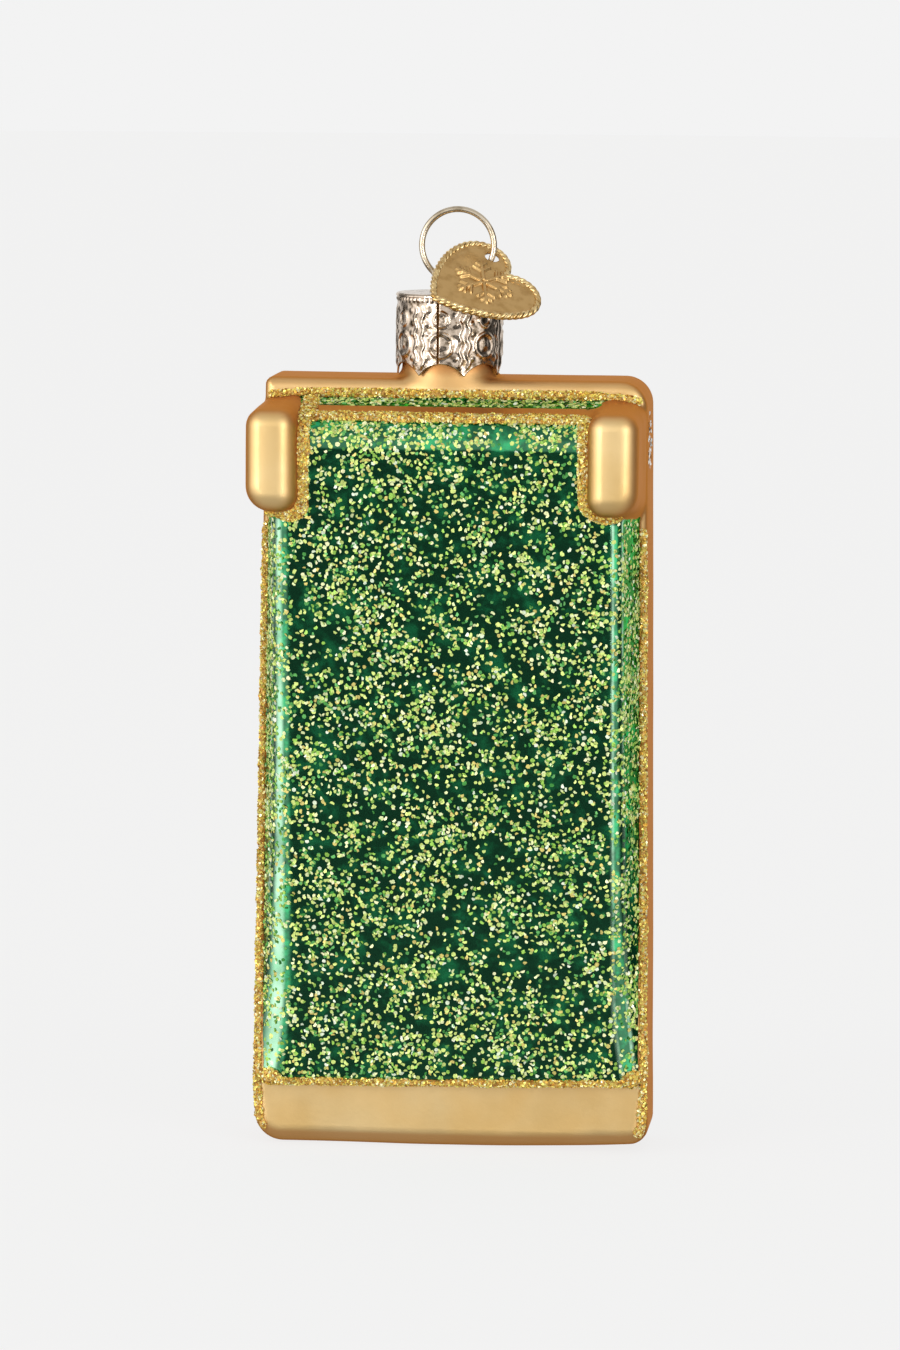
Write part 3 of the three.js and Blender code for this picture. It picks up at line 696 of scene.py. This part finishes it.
def glass_piece(material):
    vertices, quads = surface_net(glass_field, GLASS_LOW, GLASS_HIGH, GLASS_STEP)
    outer = to_object("glass_form", vertices, quads, [material])
    low, high = GLASS_LOW + WALL, GLASS_HIGH + np.array([-WALL, -WALL, 2.0])
    cut(outer, to_object("cavity", *surface_net(cavity_field, low, high, CAVITY_STEP), [material]))
    flat = np.zeros(len(outer.data.vertices) * 3, np.float32)
    outer.data.vertices.foreach_get("co", flat)
    points = flat.reshape(-1, 3).astype(float) / MM
    outside = np.abs(glass_field(points)) < np.abs(cavity_field(points))
    normals = np.where(
        outside[:, None],
        unit(gradient(points, glass_field)),
        -unit(gradient(points, cavity_field)),
    )
    outer.data.polygons.foreach_set("use_smooth", np.full(len(outer.data.polygons), True))
    outer.data.normals_split_custom_set_from_vertices(normals.tolist())
    # Painted shade: the gold is darkened where the surface turns away from the back or deck, as on the side
    # walls, on the neck's flare under the cap, and on the underside near the base
    shoulder_shade = 0.30 * np.clip((points[:, 2] - BOARD_HEIGHT + 1.6) / 0.8, 0, 1)
    shoulder_shade += 0.40 * np.clip((points[:, 2] - BOARD_HEIGHT - 0.3) / 1.5, 0, 1)
    # Painted shade under the base: down-facing gold near the floor is darkened
    base = np.where(points[:, 2] < 5, 0.42 * np.clip((-normals[:, 2] - 0.05) / 0.35, 0, 1), 0)
    marks = {
        "green": green_area(points),
        "edge_turn": frame_edge_turn(points),
        "upward": np.clip(normals[:, 2], 0, 1),
        "sideways": np.maximum(1 - np.abs(normals[:, 1]), np.maximum(shoulder_shade, base)),
    }
    for name, values in marks.items():
        attribute = outer.data.attributes.new(name, "FLOAT", "POINT")
        attribute.data.foreach_set("value", values.astype(np.float32))
    finish_piece(outer, "glass", "lacquered_glass", "glass_body")
    return vertices, corner_triangles(quads)


def patchy(points):
    """Uneven cover of sprinkled flakes."""
    cover = 1 + 0.7 * lattice_noise(points, 3.5, 11) + 0.45 * lattice_noise(points, 1.6, 12)
    return np.clip(cover, 0.15, 2.2)


def back_cover(points):
    """Flakes on the green back, thickest on its top wall."""
    on_top = np.clip((points[:, 2] - BOARD_HEIGHT + 7) / 2, 0, 1)
    inside = (green_area(points) > 0.1) & (points[:, 1] < 0)
    on_wall = np.clip((np.abs(frame_edge_turn(points)) - 0.6) / 0.3, 0, 1)
    return np.where(inside, patchy(points) * (1 + 1.6 * on_top + 0.9 * on_wall), 0)


def deck_cover(points):
    return np.where((green_area(points) > 0.1) & (points[:, 1] > 0), patchy(points), 0)


def silver_cover(points):
    """A few pale flakes strayed over the upper right side of the board."""
    x, y, z = points.T
    near = 1 - ((y + 1.2) / 3.4) ** 2 - ((z - 84.3) / 4.0) ** 2
    return np.where(x > BOARD_HALF_TOP - 0.6, np.clip(near, 0, 1) * patchy(points), 0)


def loose_flakes(name, vertices, triangles, cover, density, kinds, material, seed):
    """Flakes sprinkled over the glass by cover(points), to about density flakes on a square millimetre."""
    rng = np.random.default_rng(seed)
    middles, area = middles_and_areas(vertices, triangles)
    count = int((area * cover(middles)).sum() * density)
    points = onto_surface(scatter(vertices, triangles, cover, count, rng), glass_field, 1)
    normals = unit(gradient(points, glass_field))
    radii = rng.uniform(*LOOSE_FLAKE_RADII, len(points))
    flake_vertices, faces = flake_mesh(points, normals, radii, LOOSE_FLAKE_TILT, rng)
    piece = to_object(name, flake_vertices, faces, [material], smooth=False)
    set_colors(piece, flake_colors(len(points), kinds, rng))
    finish_piece(piece, "glass", "gold_glitter")


def even_route(corners, step=0.25):
    """Points a step apart along straight runs between corners."""
    corners = np.array(corners, float)
    route = []
    for start, end in zip(corners[:-1], corners[1:]):
        count = max(2, int(np.linalg.norm(end - start) / step))
        route += [lerp(start, end, i / count) for i in range(count)]
    return np.array(route + [corners[-1]])


def smoothed(route, rounds):
    for _ in range(rounds):
        route[1:-1] = (route[:-2] + 2 * route[1:-1] + route[2:]) / 4
    return route


# Raised glitter lines: height, widths, and flakes on a square millimetre
LINE_HEIGHT = 0.48
EDGE_LINE = 1.0
TOP_LINE = 0.95
STRIP_LINE = 2.4
RAIL_LINE = 2.0
LEFT_LEG_LINE = 1.9
RIGHT_LEG_LINE = 1.6
LINE_DENSITY = 34


def glitter_line(name, corners, width, glue_paint, flake_paint, seed, node):
    """A bumpy ridge of glue laid on the glass along a route, thick with gold flakes."""
    rng = np.random.default_rng(seed)
    route = onto_surface(smoothed(even_route(corners), 6), glass_field, 6)
    ahead = unit(np.gradient(route, axis=0))
    up = unit(gradient(route, glass_field))
    side = unit(np.cross(up, ahead))
    sides = 10
    number = np.arange(len(route))
    taper = np.minimum(1, (np.minimum(number, number[::-1]) + 1) / 3)
    rows = []
    for angle in full_turn(sides):
        place = route + side * math.cos(angle) + up * math.sin(angle)
        bumps = 1 + 0.22 * lattice_noise(place, 0.55, seed) + 0.18 * lattice_noise(place, 2.0, seed + 1)
        reach_side = math.cos(angle) * width / 2 * bumps * taper
        reach_up = math.sin(angle) * LINE_HEIGHT * bumps * taper
        rows.append(route + side * reach_side[:, None] + up * reach_up[:, None])
    vertices = np.stack(rows, axis=1).reshape(-1, 3)
    skin = bar_faces(len(route), sides, flip=False)

    def above_glass(points):
        return np.where(glass_field(points) > 0.02, 1.0, 0.0)

    length = np.linalg.norm(np.diff(route, axis=0), axis=1).sum()
    count = int(length * width * LINE_DENSITY)
    points = scatter(vertices, corner_triangles(skin[:-2]), above_glass, count, rng)
    normals = unit(gradient(points, glass_field))
    nearest = np.argmin(np.abs(points[:, None, :] - route[None, ::4, :]).sum(2), axis=1) * 4
    outward = unit(points - route[nearest] + up[nearest] * 0.15)
    radii = rng.uniform(*LINE_FLAKE_RADII, count)
    flake_vertices, flake_faces = flake_mesh(points, unit(normals + outward), radii, LINE_FLAKE_TILT, rng)
    shift = len(vertices)
    moved = [[index + shift for index in face] for face in flake_faces]
    everything = np.concatenate([vertices, flake_vertices])
    kinds = [0] * len(skin) + [1] * len(moved)
    piece = to_object(name, everything, skin + moved, [glue_paint, flake_paint], False, kinds)
    set_colors(piece, np.concatenate([np.full((shift, 3), 0.5), flake_colors(count, GOLD_FLAKES, rng)]))
    finish_piece(piece, "glass", "gold_glitter", node)


def glitter_routes():
    """Name, corners and width of each raised line, with the CAD node that it stands for."""
    inset = FRAME_INSET / 2
    top_z = BOARD_HEIGHT - 1.76
    top_half = board_half(top_z) - 0.5
    strip_half = LEG_INNER - 0.1
    strip_y = -STRIP_GLITTER_DEPTH
    strip_z = frame_wall(strip_y)
    routes = []
    for side, word, shift, leg_line in (
        (-1, "left", LEG_SHIFT_LEFT, LEFT_LEG_LINE),
        (1, "right", LEG_SHIFT_RIGHT, RIGHT_LEG_LINE),
    ):
        edge = [(side * (board_half(0) - 1.3), BACK_Y, 1.6)]
        edge += [(side * (board_half(z) - inset), BACK_Y, z) for z in (3.0, LEG_ROOT_LOW - 0.5)]
        routes.append((f"glitter_{word}", edge, EDGE_LINE, f"glitter_line_{word}"))
        inner = LEG_INNER - 0.45
        under = LEG_END_LOW - (0.9 if side < 0 else 0.4)
        path = [
            (FRAME_HALF + 0.3, under), (inner + 1.6, under), (inner + 0.5, under + 0.5),
            (inner, under + 1.6), (inner, BOARD_HEIGHT - 7.2),
        ]
        leg = [(side * x + shift, -frame_depth(z), z) for x, z in path]
        wall_x = side * inner + shift
        leg += [(wall_x, strip_y - 2.0, strip_z - 1.3), (wall_x, strip_y, strip_z)]
        if side < 0:
            leg.append((wall_x, BACK_Y - 0.6, frame_wall(BACK_Y - 0.6)))
        routes.append((f"glitter_{word}_leg", leg, leg_line, f"glitter_line_{word}_leg"))
    top = [(-top_half, top_z - 0.35), (-17.0, top_z), (17.0, top_z), (top_half, top_z - 0.6)]
    top = [(x, BACK_Y, z) for x, z in top]
    routes.append(("glitter_top", top, TOP_LINE, "glitter_line_top"))
    strip = [(x, strip_y, strip_z) for x in (-strip_half + LEG_SHIFT_LEFT, strip_half + LEG_SHIFT_RIGHT)]
    routes.append(("glitter_strip", strip, STRIP_LINE, "glitter_line_strip"))
    rail = board_half(RAIL_HEIGHT) - inset
    low_line = [(x, BACK_Y - 1.0, rail_line(x) + 0.45) for x in (-rail, rail)]
    routes.append(("glitter_rail", low_line, RAIL_LINE, "glitter_line_rail"))
    return routes


# Crown cap
CAP_OUTER = (BAND_HIGH[0] - BAND_LOW[0]) / 2
CAP_SHEET = 0.35
CAP_TIP_Z = BAND_LOW[2]
CAP_UNDERSIDE = BAND_HIGH[2]
CAP_TOP = cad_box("cap_top")[1][2]
CAP_SCALLOPS = 7
CAP_PANEL = 2 * math.pi / CAP_SCALLOPS
CAP_ARCH_RADIUS = 3.3
CAP_ARCH_HEIGHT = 1.4
CAP_TIP_TURN = math.radians(22.1)
CAP_SEAM_TURN = math.radians(-7.0)
CAP_SEAM_HALF = 0.15
CAP_RELIEF_ROOM = 0.18


def cap_angle_point(radius, turn, z):
    """A point on the cap, turned from the side that faces the viewer."""
    return np.stack([NECK_X + radius * np.sin(turn), NECK_Y - radius * np.cos(turn), z], axis=-1)


def ring_height(along, up, radius, thick):
    """Height of a raised ring around a point, or of a dot where its radius is 0."""
    return np.exp(-((np.hypot(along, up) - radius) / thick) ** 2)


def turn_in_scallop(turn):
    """How far a point lies from the middle of its scallop, in radians round the cap."""
    local = (turn - CAP_TIP_TURN) / CAP_PANEL
    return (local - np.floor(local) - 0.5) * CAP_PANEL


def stamped_relief(turn, z):
    """Stamped pattern of the crown cap: rings, dots, wavy ribs and a row of beads, in millimetres."""
    along = turn_in_scallop(turn) * CAP_OUTER
    height = z - CAP_TIP_Z
    relief = 0.16 * ring_height(along, height - 3.6, 1.35, 0.24)
    relief += 0.14 * ring_height(along, height - 3.6, 0, 0.5)
    relief += 0.15 * ring_height(along, height - 6.6, 0.8, 0.2)
    for side in (-1, 1):
        for place in (2.1, 4.9, 6.1, 7.6):
            aside = 1.55 + (0.12 * place) % 0.4
            relief += 0.13 * ring_height(along - side * aside, height - place, 0, 0.3)
        wave = 2.35 + 0.16 * np.sin(height * 3.4 + side)
        rib = np.exp(-((along - side * wave) / 0.2) ** 2)
        relief += 0.15 * rib * np.clip((height - 0.6) / 0.6, 0, 1) * np.clip((8.2 - height) / 0.5, 0, 1)
    hammered = lattice_noise(np.stack([turn * CAP_OUTER, z, 0 * z], axis=-1).reshape(-1, 3), 0.6, 21)
    relief += 0.035 * hammered.reshape(relief.shape)
    beads = np.abs(np.sin(turn * 32)) ** 2 * np.exp(-((CAP_UNDERSIDE - 0.35 - z) / 0.22) ** 2)
    return relief + 0.14 * beads


def scallop_low(turn):
    """Height of the band's lower edge above its tips, by how far round the cap it is."""
    across = np.sin(turn_in_scallop(turn)) * CAP_OUTER
    arch = np.sqrt(np.maximum(CAP_ARCH_RADIUS ** 2 - across ** 2, 0)) - CAP_ARCH_RADIUS + CAP_ARCH_HEIGHT
    return np.maximum(arch, 0)


def cap_band_piece(material):
    """Rolled band with its seam gap, scallops and relief: one bar whose rings each run out and back in."""
    around, rows = 300, 72
    start = CAP_SEAM_TURN + CAP_SEAM_HALF / CAP_OUTER
    turns = np.linspace(start, start + 2 * math.pi - 2 * CAP_SEAM_HALF / CAP_OUTER, around)
    share = np.linspace(0, 1, rows)
    low = CAP_TIP_Z + scallop_low(turns)
    z = low[:, None] + share[None, :] * (CAP_UNDERSIDE - low)[:, None]
    turn = np.repeat(turns[:, None], rows, axis=1)
    relief = stamped_relief(turn, z) * np.minimum(share * rows / 4, 1)[None, :]
    outer = cap_angle_point(CAP_OUTER - CAP_RELIEF_ROOM + relief, turn, z)
    inner = cap_angle_point(CAP_OUTER - CAP_SHEET - 0.05 + 0.2 * relief, turn, z)
    vertices = np.concatenate([outer, inner[:, ::-1]], axis=1).reshape(-1, 3)
    piece = to_object("crown_band", vertices, bar_faces(around, 2 * rows, flip=False), [material])
    finish_piece(piece, "cap", "cap_metal", "cap_band")


# Wire loop
WIRE_RADIUS = 0.36
LOOP_RADIUS = 4.25
LOOP_X = NECK_X + 0.9
LOOP_Z = CAP_TOP + 5.5
LOOP_FOOT_BEND = 1.0
PRONG_SPACING = 1.75
PRONG_LENGTH = 8.2
PRONG_FLARE = 0.8


def arc(x, z, radius, side, start, end, steps):
    """Points round a middle from one angle to another, mirrored on the left side."""
    angles = [lerp(start, end, i / steps) for i in range(steps + 1)]
    return [(x + side * radius * math.cos(angle), z + radius * math.sin(angle)) for angle in angles]


def wire_side(side):
    """Route of one side of the wire, from the top of the loop down to the prong's end."""
    slot_x = NECK_X + side * PRONG_SPACING
    bend_x = slot_x + side * LOOP_FOOT_BEND
    across = bend_x - LOOP_X
    drop = math.sqrt((LOOP_RADIUS + LOOP_FOOT_BEND) ** 2 - across ** 2)
    join = math.atan2(-drop, side * across)
    points = arc(LOOP_X, LOOP_Z, LOOP_RADIUS, side, math.pi / 2, join, 36)
    points += arc(bend_x, LOOP_Z - drop, LOOP_FOOT_BEND, side, join + math.pi, math.pi, 12)[1:]
    for i in range(1, 13):
        share = i / 12
        x = slot_x + side * PRONG_FLARE * share ** 1.7
        points.append((x, lerp(CAP_UNDERSIDE - WIRE_RADIUS, CAP_UNDERSIDE - PRONG_LENGTH, share)))
    return [(x, NECK_Y, z) for x, z in points]


def tube(route, radius, sides):
    """Closed round bar along a route that runs in a plane of constant y."""
    route = np.array(route, float)
    ahead = unit(np.gradient(route, axis=0))
    across = np.array([0.0, 1.0, 0.0])
    third = np.cross(ahead, across)
    turn = full_turn(sides)[None, :, None]
    ring = np.cos(turn) * across + np.sin(turn) * third[:, None, :]
    ring = route[:, None, :] + radius * ring
    return ring.reshape(-1, 3), bar_faces(len(route), sides)


def wire_piece(material):
    left = wire_side(-1)[::-1]
    vertices, faces = tube(left + wire_side(1)[1:], WIRE_RADIUS, 24)
    piece = to_object("wire_loop", vertices, faces, [material])
    finish_piece(piece, "hanger", "wire_metal", "hanger_wire")


# Heart tag
TAG_SHEET = 0.35
TAG_LOBE_RADIUS = 3.3
TAG_LOBE_SPREAD = 3.3
TAG_TIP_DROP = 8.9
TAG_ROPE_RADIUS = 0.42
TAG_ROPE_PITCH = 0.75
TAG_ROPE_STRANDS = 3
TAG_HOLE_RADIUS = 0.9
TAG_HOLE_RISE = 1.85
TAG_MIDDLE = np.array([0.0, -2.2])
TAG_LOOP = math.radians(-19.9)
TAG_TILT = math.radians(51)
TAG_YAW = math.radians(27)
TAG_ROLL = math.radians(-71)

# Raised snowflake on the tag
SNOWFLAKE_MIDDLE = np.array([0.1, -1.9])
SNOWFLAKE_SIZE = 3.5
SNOWFLAKE_HEIGHT = 0.34
ARM_HALF_WIDTH = 0.27
BRANCH_HALF_WIDTH = 0.2
BRANCH_TURN = math.radians(52)
BRANCH_PLACES_AND_LENGTHS = ((0.52, 0.36), (0.78, 0.22))


def tag_axes():
    """The tag's own axes: across the heart, up to its lobes and out of its face, and the middle."""
    across, along, facing = turned_axes(TAG_YAW, TAG_TILT, TAG_ROLL)
    hole_x = LOOP_X + LOOP_RADIUS * math.cos(TAG_LOOP)
    hole_z = LOOP_Z + LOOP_RADIUS * math.sin(TAG_LOOP)
    hole = np.array([hole_x, NECK_Y, hole_z])
    return across, along, facing, hole + across * TAG_LOBE_SPREAD - along * TAG_HOLE_RISE


def bezier(points, share):
    a, b, c, d = np.array(points, float)
    t = share[:, None]
    return a * (1 - t) ** 3 + 3 * b * t * (1 - t) ** 2 + 3 * c * t ** 2 * (1 - t) + d * t ** 3


def heart_outline(count):
    """Points an even step apart round the heart, from the notch over the right lobe."""
    spread = TAG_LOBE_SPREAD - 0.25
    notch = math.acos(spread / TAG_LOBE_RADIUS)
    outer = spread + TAG_LOBE_RADIUS
    angle = np.linspace(math.pi - notch, 0, 60)[:-1]
    lobe = np.stack([spread + TAG_LOBE_RADIUS * np.cos(angle), TAG_LOBE_RADIUS * np.sin(angle)], axis=1)
    share = np.linspace(0, 1, 60)[:-1]
    tip = (0.4, -0.98 * TAG_TIP_DROP)
    bends = [(outer, -0.4 * TAG_TIP_DROP), (0.46 * outer, -0.82 * TAG_TIP_DROP)]
    side = bezier([(outer, 0), *bends, tip], share)
    right = np.concatenate([lobe, side, [[0.2, -0.995 * TAG_TIP_DROP]]])
    left = (right * [-1, 1])[::-1]
    whole = np.concatenate([right, [[0, -TAG_TIP_DROP]], left])
    closed = np.concatenate([whole, whole[:1]])
    length = np.concatenate([[0], np.cumsum(np.linalg.norm(np.diff(closed, axis=0), axis=1))])
    stations = np.linspace(0, length[-1], count, endpoint=False)
    return np.stack([np.interp(stations, length, closed[:, i]) for i in range(2)], axis=1)


def gap_to_line(points, start, end):
    """Distance from each point to the straight line between two others."""
    run = end - start
    share = np.clip(((points - start) @ run) / (run @ run), 0, 1)
    return np.linalg.norm(points - start - share[:, None] * run, axis=1)


def arm_at(angle):
    return SNOWFLAKE_SIZE * np.array([math.cos(angle), math.sin(angle)])


def snowflake_strokes():
    """Start, end and half width of each stroke: six arms with small side branches."""
    strokes = []
    for i in range(6):
        angle = math.pi / 2 + i * math.pi / 3
        arm = arm_at(angle)
        strokes.append((SNOWFLAKE_MIDDLE + 0.12 * arm, SNOWFLAKE_MIDDLE + arm, ARM_HALF_WIDTH))
        for place, length in BRANCH_PLACES_AND_LENGTHS:
            root = SNOWFLAKE_MIDDLE + place * arm
            for turn in (-1, 1):
                tip = root + length * arm_at(angle + turn * BRANCH_TURN)
                strokes.append((root, tip, BRANCH_HALF_WIDTH))
    return strokes


def with_height(flat, height):
    return np.concatenate([flat, np.broadcast_to(height, len(flat))[:, None]], axis=1)


def tag_plate(material):
    """Heart-shaped plate with a shallow dome, a groove by its edge and a raised snowflake."""
    across, along, facing, middle = tag_axes()
    axes = np.stack([across, along, facing])
    outline = heart_outline(184)
    rings = 46
    shares = 1 - np.linspace(0, 1, rings + 1)[:-1]
    flat = [TAG_MIDDLE + (outline - TAG_MIDDLE) * share for share in shares]
    flat = np.concatenate(flat + [TAG_MIDDLE[None, :]])
    sides = zip(outline, np.roll(outline, -1, axis=0))
    edge_gap = np.min([gap_to_line(flat, start, end) for start, end in sides], axis=0)
    dome = 0.10 * np.clip((edge_gap - 0.6) / 2.4, 0, 1)
    groove = -0.06 * np.exp(-((edge_gap - 0.75) / 0.22) ** 2)
    raised = np.zeros(len(flat))
    for start, end, half_width in snowflake_strokes():
        stroke = 1 - (gap_to_line(flat, start, end) / half_width) ** 2
        raised = np.maximum(raised, SNOWFLAKE_HEIGHT * np.sqrt(np.clip(stroke, 0, 1)))
    count = len(outline)
    faces = ring_faces(rings, count)
    last = (rings - 1) * count
    total = len(flat)
    rim = []
    for i in range(count):
        after = (i + 1) % count
        faces.append([last + i, rings * count, last + after])
        rim.append([i, after, total + after, total + i])
    back = [[total + index for index in face][::-1] for face in faces]
    front_skin = with_height(flat, TAG_SHEET / 2 + dome + raised + groove)
    local = np.concatenate([front_skin, with_height(flat, -TAG_SHEET / 2)])
    piece = to_object("tag_plate", middle + local @ axes, faces + back + rim, [material])
    turn = full_turn(40)
    hole = TAG_HOLE_RADIUS * np.stack([np.cos(turn), np.sin(turn)], axis=1)
    hole += [-TAG_LOBE_SPREAD, TAG_HOLE_RISE]
    drill = np.concatenate([with_height(hole, level) for level in (-1.0, 1.0)])
    cut(piece, to_object("drill", middle + drill @ axes, bar_faces(2, len(hole)), [material]))
    finish_piece(piece, "tag", "tag_brass", "heart_tag")


def tag_rope(material):
    """Twisted rope round the heart's edge, as one closed ring."""
    across, along, facing, middle = tag_axes()
    count, sides = 900, 24
    outline = heart_outline(count)
    length = np.linalg.norm(outline - np.roll(outline, 1, axis=0), axis=1).sum()
    turns = round(length / (TAG_ROPE_PITCH * TAG_ROPE_STRANDS))
    run = unit(np.roll(outline, -8, axis=0) - np.roll(outline, 8, axis=0))
    out = run[:, 1:2] * across - run[:, 0:1] * along
    place = middle + outline[:, :1] * across + outline[:, 1:] * along
    around = full_turn(sides)[None, :]
    twist = turns * full_turn(count)[:, None]
    lobe = np.abs(np.cos(TAG_ROPE_STRANDS * (around - twist) / 2))
    radius = TAG_ROPE_RADIUS * (0.72 + 0.34 * lobe)
    ring = place[:, None, :] + (radius * np.cos(around))[..., None] * out[:, None, :]
    ring = ring + (radius * np.sin(around))[..., None] * facing
    faces = ring_faces(count, sides, flip=True, closed=True)
    piece = to_object("tag_rope", ring.reshape(-1, 3), faces, [material])
    finish_piece(piece, "tag", "tag_brass")


# Studio
PAPER_GLOW = 0.896
FLOOR_GLOW = 0.80
FLOOR_PAINT = 0.11
FLOOR_RADIUS = 4000.0
DOME_RADIUS = 3900.0
TARGET = np.array([0.0, 0.0, 55.95])
AZIMUTH = math.radians(6)
ELEVATION = math.radians(7)
DISTANCE = 700.0
SHIFT_RIGHT = -0.95
ROLL = math.radians(0.45)
VIEW_HEIGHT = 160.0
SENSOR = 36.0
DARKEST_LIGHT = 0.06
LAMP_HEIGHT = 500
LAMP_TARGET = Vector((0, 0, 50)) * MM


def studio_camera():
    level = np.array([math.cos(AZIMUTH), math.sin(AZIMUTH), 0])
    right, up, back = turned_axes(AZIMUTH, ELEVATION, ROLL)
    place = TARGET + level * SHIFT_RIGHT + back * DISTANCE
    data = bpy.data.cameras.new("camera")
    data.lens = SENSOR * DISTANCE / VIEW_HEIGHT
    data.sensor_width = SENSOR
    data.clip_start = 0.05
    data.clip_end = 20
    camera = linked("camera", data)
    turn = Matrix((Vector(right), Vector(up), Vector(back))).transposed().to_4x4()
    camera.matrix_world = Matrix.Translation(Vector(place * MM)) @ turn
    bpy.context.scene.camera = camera


def paper(name, glow, paint):
    """Matt paper that gives off a pale light of its own."""
    nodes = Nodes(bpy.data.materials.new(name))
    nodes.set(
        Base_Color=(paint, paint, paint),
        Roughness=1.0,
        Specular_IOR_Level=0.0,
        Emission_Color=(1.0, 1.0, 1.0),
        Emission_Strength=glow,
    )
    return nodes.owner


def studio_stage():
    """A pale floor, and a pale dome that only the camera sees."""
    turn = full_turn(96)
    rim = FLOOR_RADIUS * np.stack([np.cos(turn), np.sin(turn), 0 * turn], axis=1)
    floor = to_object("floor", rim, [list(range(96))], [paper("floor_paper", FLOOR_GLOW, FLOOR_PAINT)], False)
    floor.visible_glossy = False
    bpy.ops.mesh.primitive_uv_sphere_add(segments=96, ring_count=48, radius=DOME_RADIUS * MM)
    dome = bpy.context.object
    dome.name = "dome"
    dome.data.materials.append(paper("dome_paper", PAPER_GLOW, 0.0))
    for ray in ("diffuse", "glossy", "transmission", "volume_scatter", "shadow"):
        setattr(dome, f"visible_{ray}", False)


def studio_world():
    """Soft light by direction: a broad bright front, and paler light from behind, above and below."""
    world = bpy.data.worlds.new("studio")
    bpy.context.scene.world = world
    nodes = Nodes(world)
    direction = nodes.add("ShaderNodeTexCoord", {}).outputs["Generated"]
    split = nodes.add("ShaderNodeSeparateXYZ", {0: direction})
    x, y, z = (split.outputs[i] for i in range(3))
    # Turns are in radians from straight ahead of the legs, heights run from -1 to 1
    turn = nodes.math("ARCTAN2", x, nodes.times(y, -1.0))
    aside = nodes.largest(turn, nodes.times(turn, -1.0))
    window = nodes.times(nodes.ease(turn, -1.95, -1.45), nodes.ease(turn, 1.55, 1.15))
    level = nodes.ease(aside, 0.2, 0.7, 0.92, 1.6)
    height = nodes.times(nodes.ease(z, -0.27, -0.12), nodes.ease(z, 0.85, 0.40))
    front = nodes.times(window, level, height)
    low_height = nodes.ease(z, -0.48, -0.32, 0.0, 1.25)
    low_sides = nodes.times(window, nodes.ease(aside, 0.5, 0.8), low_height, nodes.span(z, 0.3, 0.1))
    behind = nodes.times(nodes.ease(y, 0.40, 0.78, 0.0, 0.85), nodes.ease(z, -0.6, -0.25))
    above = nodes.ease(z, 0.30, 0.8, 0.0, 0.60)
    below = nodes.ease(z, -0.30, -0.75, 0.0, 0.40)
    light = nodes.math("ADD", nodes.largest(front, low_sides, behind, above, below), DARKEST_LIGHT)
    background = nodes.tree.nodes["Background"]
    nodes.put(background.inputs["Color"], (1.0, 0.985, 0.96))
    nodes.put(background.inputs["Strength"], light)


def strip_lamp(name, place, width, power):
    """A tall soft lamp that looks at the middle of the ornament."""
    data = bpy.data.lights.new(name, "AREA")
    data.shape = "RECTANGLE"
    data.size = width * MM
    data.size_y = LAMP_HEIGHT * MM
    data.energy = power
    lamp = linked(name, data)
    lamp.location = Vector(place) * MM
    lamp.rotation_euler = (LAMP_TARGET - lamp.location).to_track_quat("-Z", "Z").to_euler()


def main():
    studio_camera()
    studio_stage()
    studio_world()
    strip_lamp("left_strip", (-420, -520, 90), width=70, power=1.2)
    strip_lamp("right_strip", (430, -520, 90), width=50, power=1.0)
    bpy.context.scene.view_settings.view_transform = "Standard"
    sprinkle = glitter("sprinkled_flakes", roughness=0.40, metallic=0.25)
    gold_flakes = glitter("gold_flakes", roughness=0.32, metallic=0.5)
    amber = glue()
    cap_metal = plated_metal("cap_metal", (0.64, 0.53, 0.43), (0.13, 0.09, 0.05), 0.9, 0.14, 0.26, 0.03)
    wire_metal = plated_metal("wire_metal", (0.68, 0.59, 0.46), (0.42, 0.34, 0.23), 2.0, 0.18, 0.30, 0.008)
    brass = plated_metal("tag_brass", (0.68, 0.44, 0.18), (0.54, 0.33, 0.12), 1.5, 0.28, 0.40, 0.015)
    bright_brass = plated_metal("rope_brass", (0.90, 0.68, 0.34), (0.52, 0.31, 0.10), 0.9, 0.22, 0.34, 0.01)
    vertices, triangles = glass_piece(lacquered_glass())
    for name, cover, density, kinds, seed in (
        ("flakes_back", back_cover, 3.0, GREEN_FLAKES, 31),
        ("flakes_deck", deck_cover, 2.6, GREEN_FLAKES, 32),
        ("flakes_side", silver_cover, 2.2, SILVER_FLAKES, 33),
    ):
        loose_flakes(name, vertices, triangles, cover, density, kinds, sprinkle, seed)
    for seed, (name, corners, width, node) in enumerate(glitter_routes(), 41):
        glitter_line(name, corners, width, amber, gold_flakes, seed, node)
    cap_band_piece(cap_metal)
    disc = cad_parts["cap_top"]
    disc.data.materials.clear()
    disc.data.materials.append(cap_metal)
    wire_piece(wire_metal)
    tag_plate(brass)
    tag_rope(bright_brass)


main()
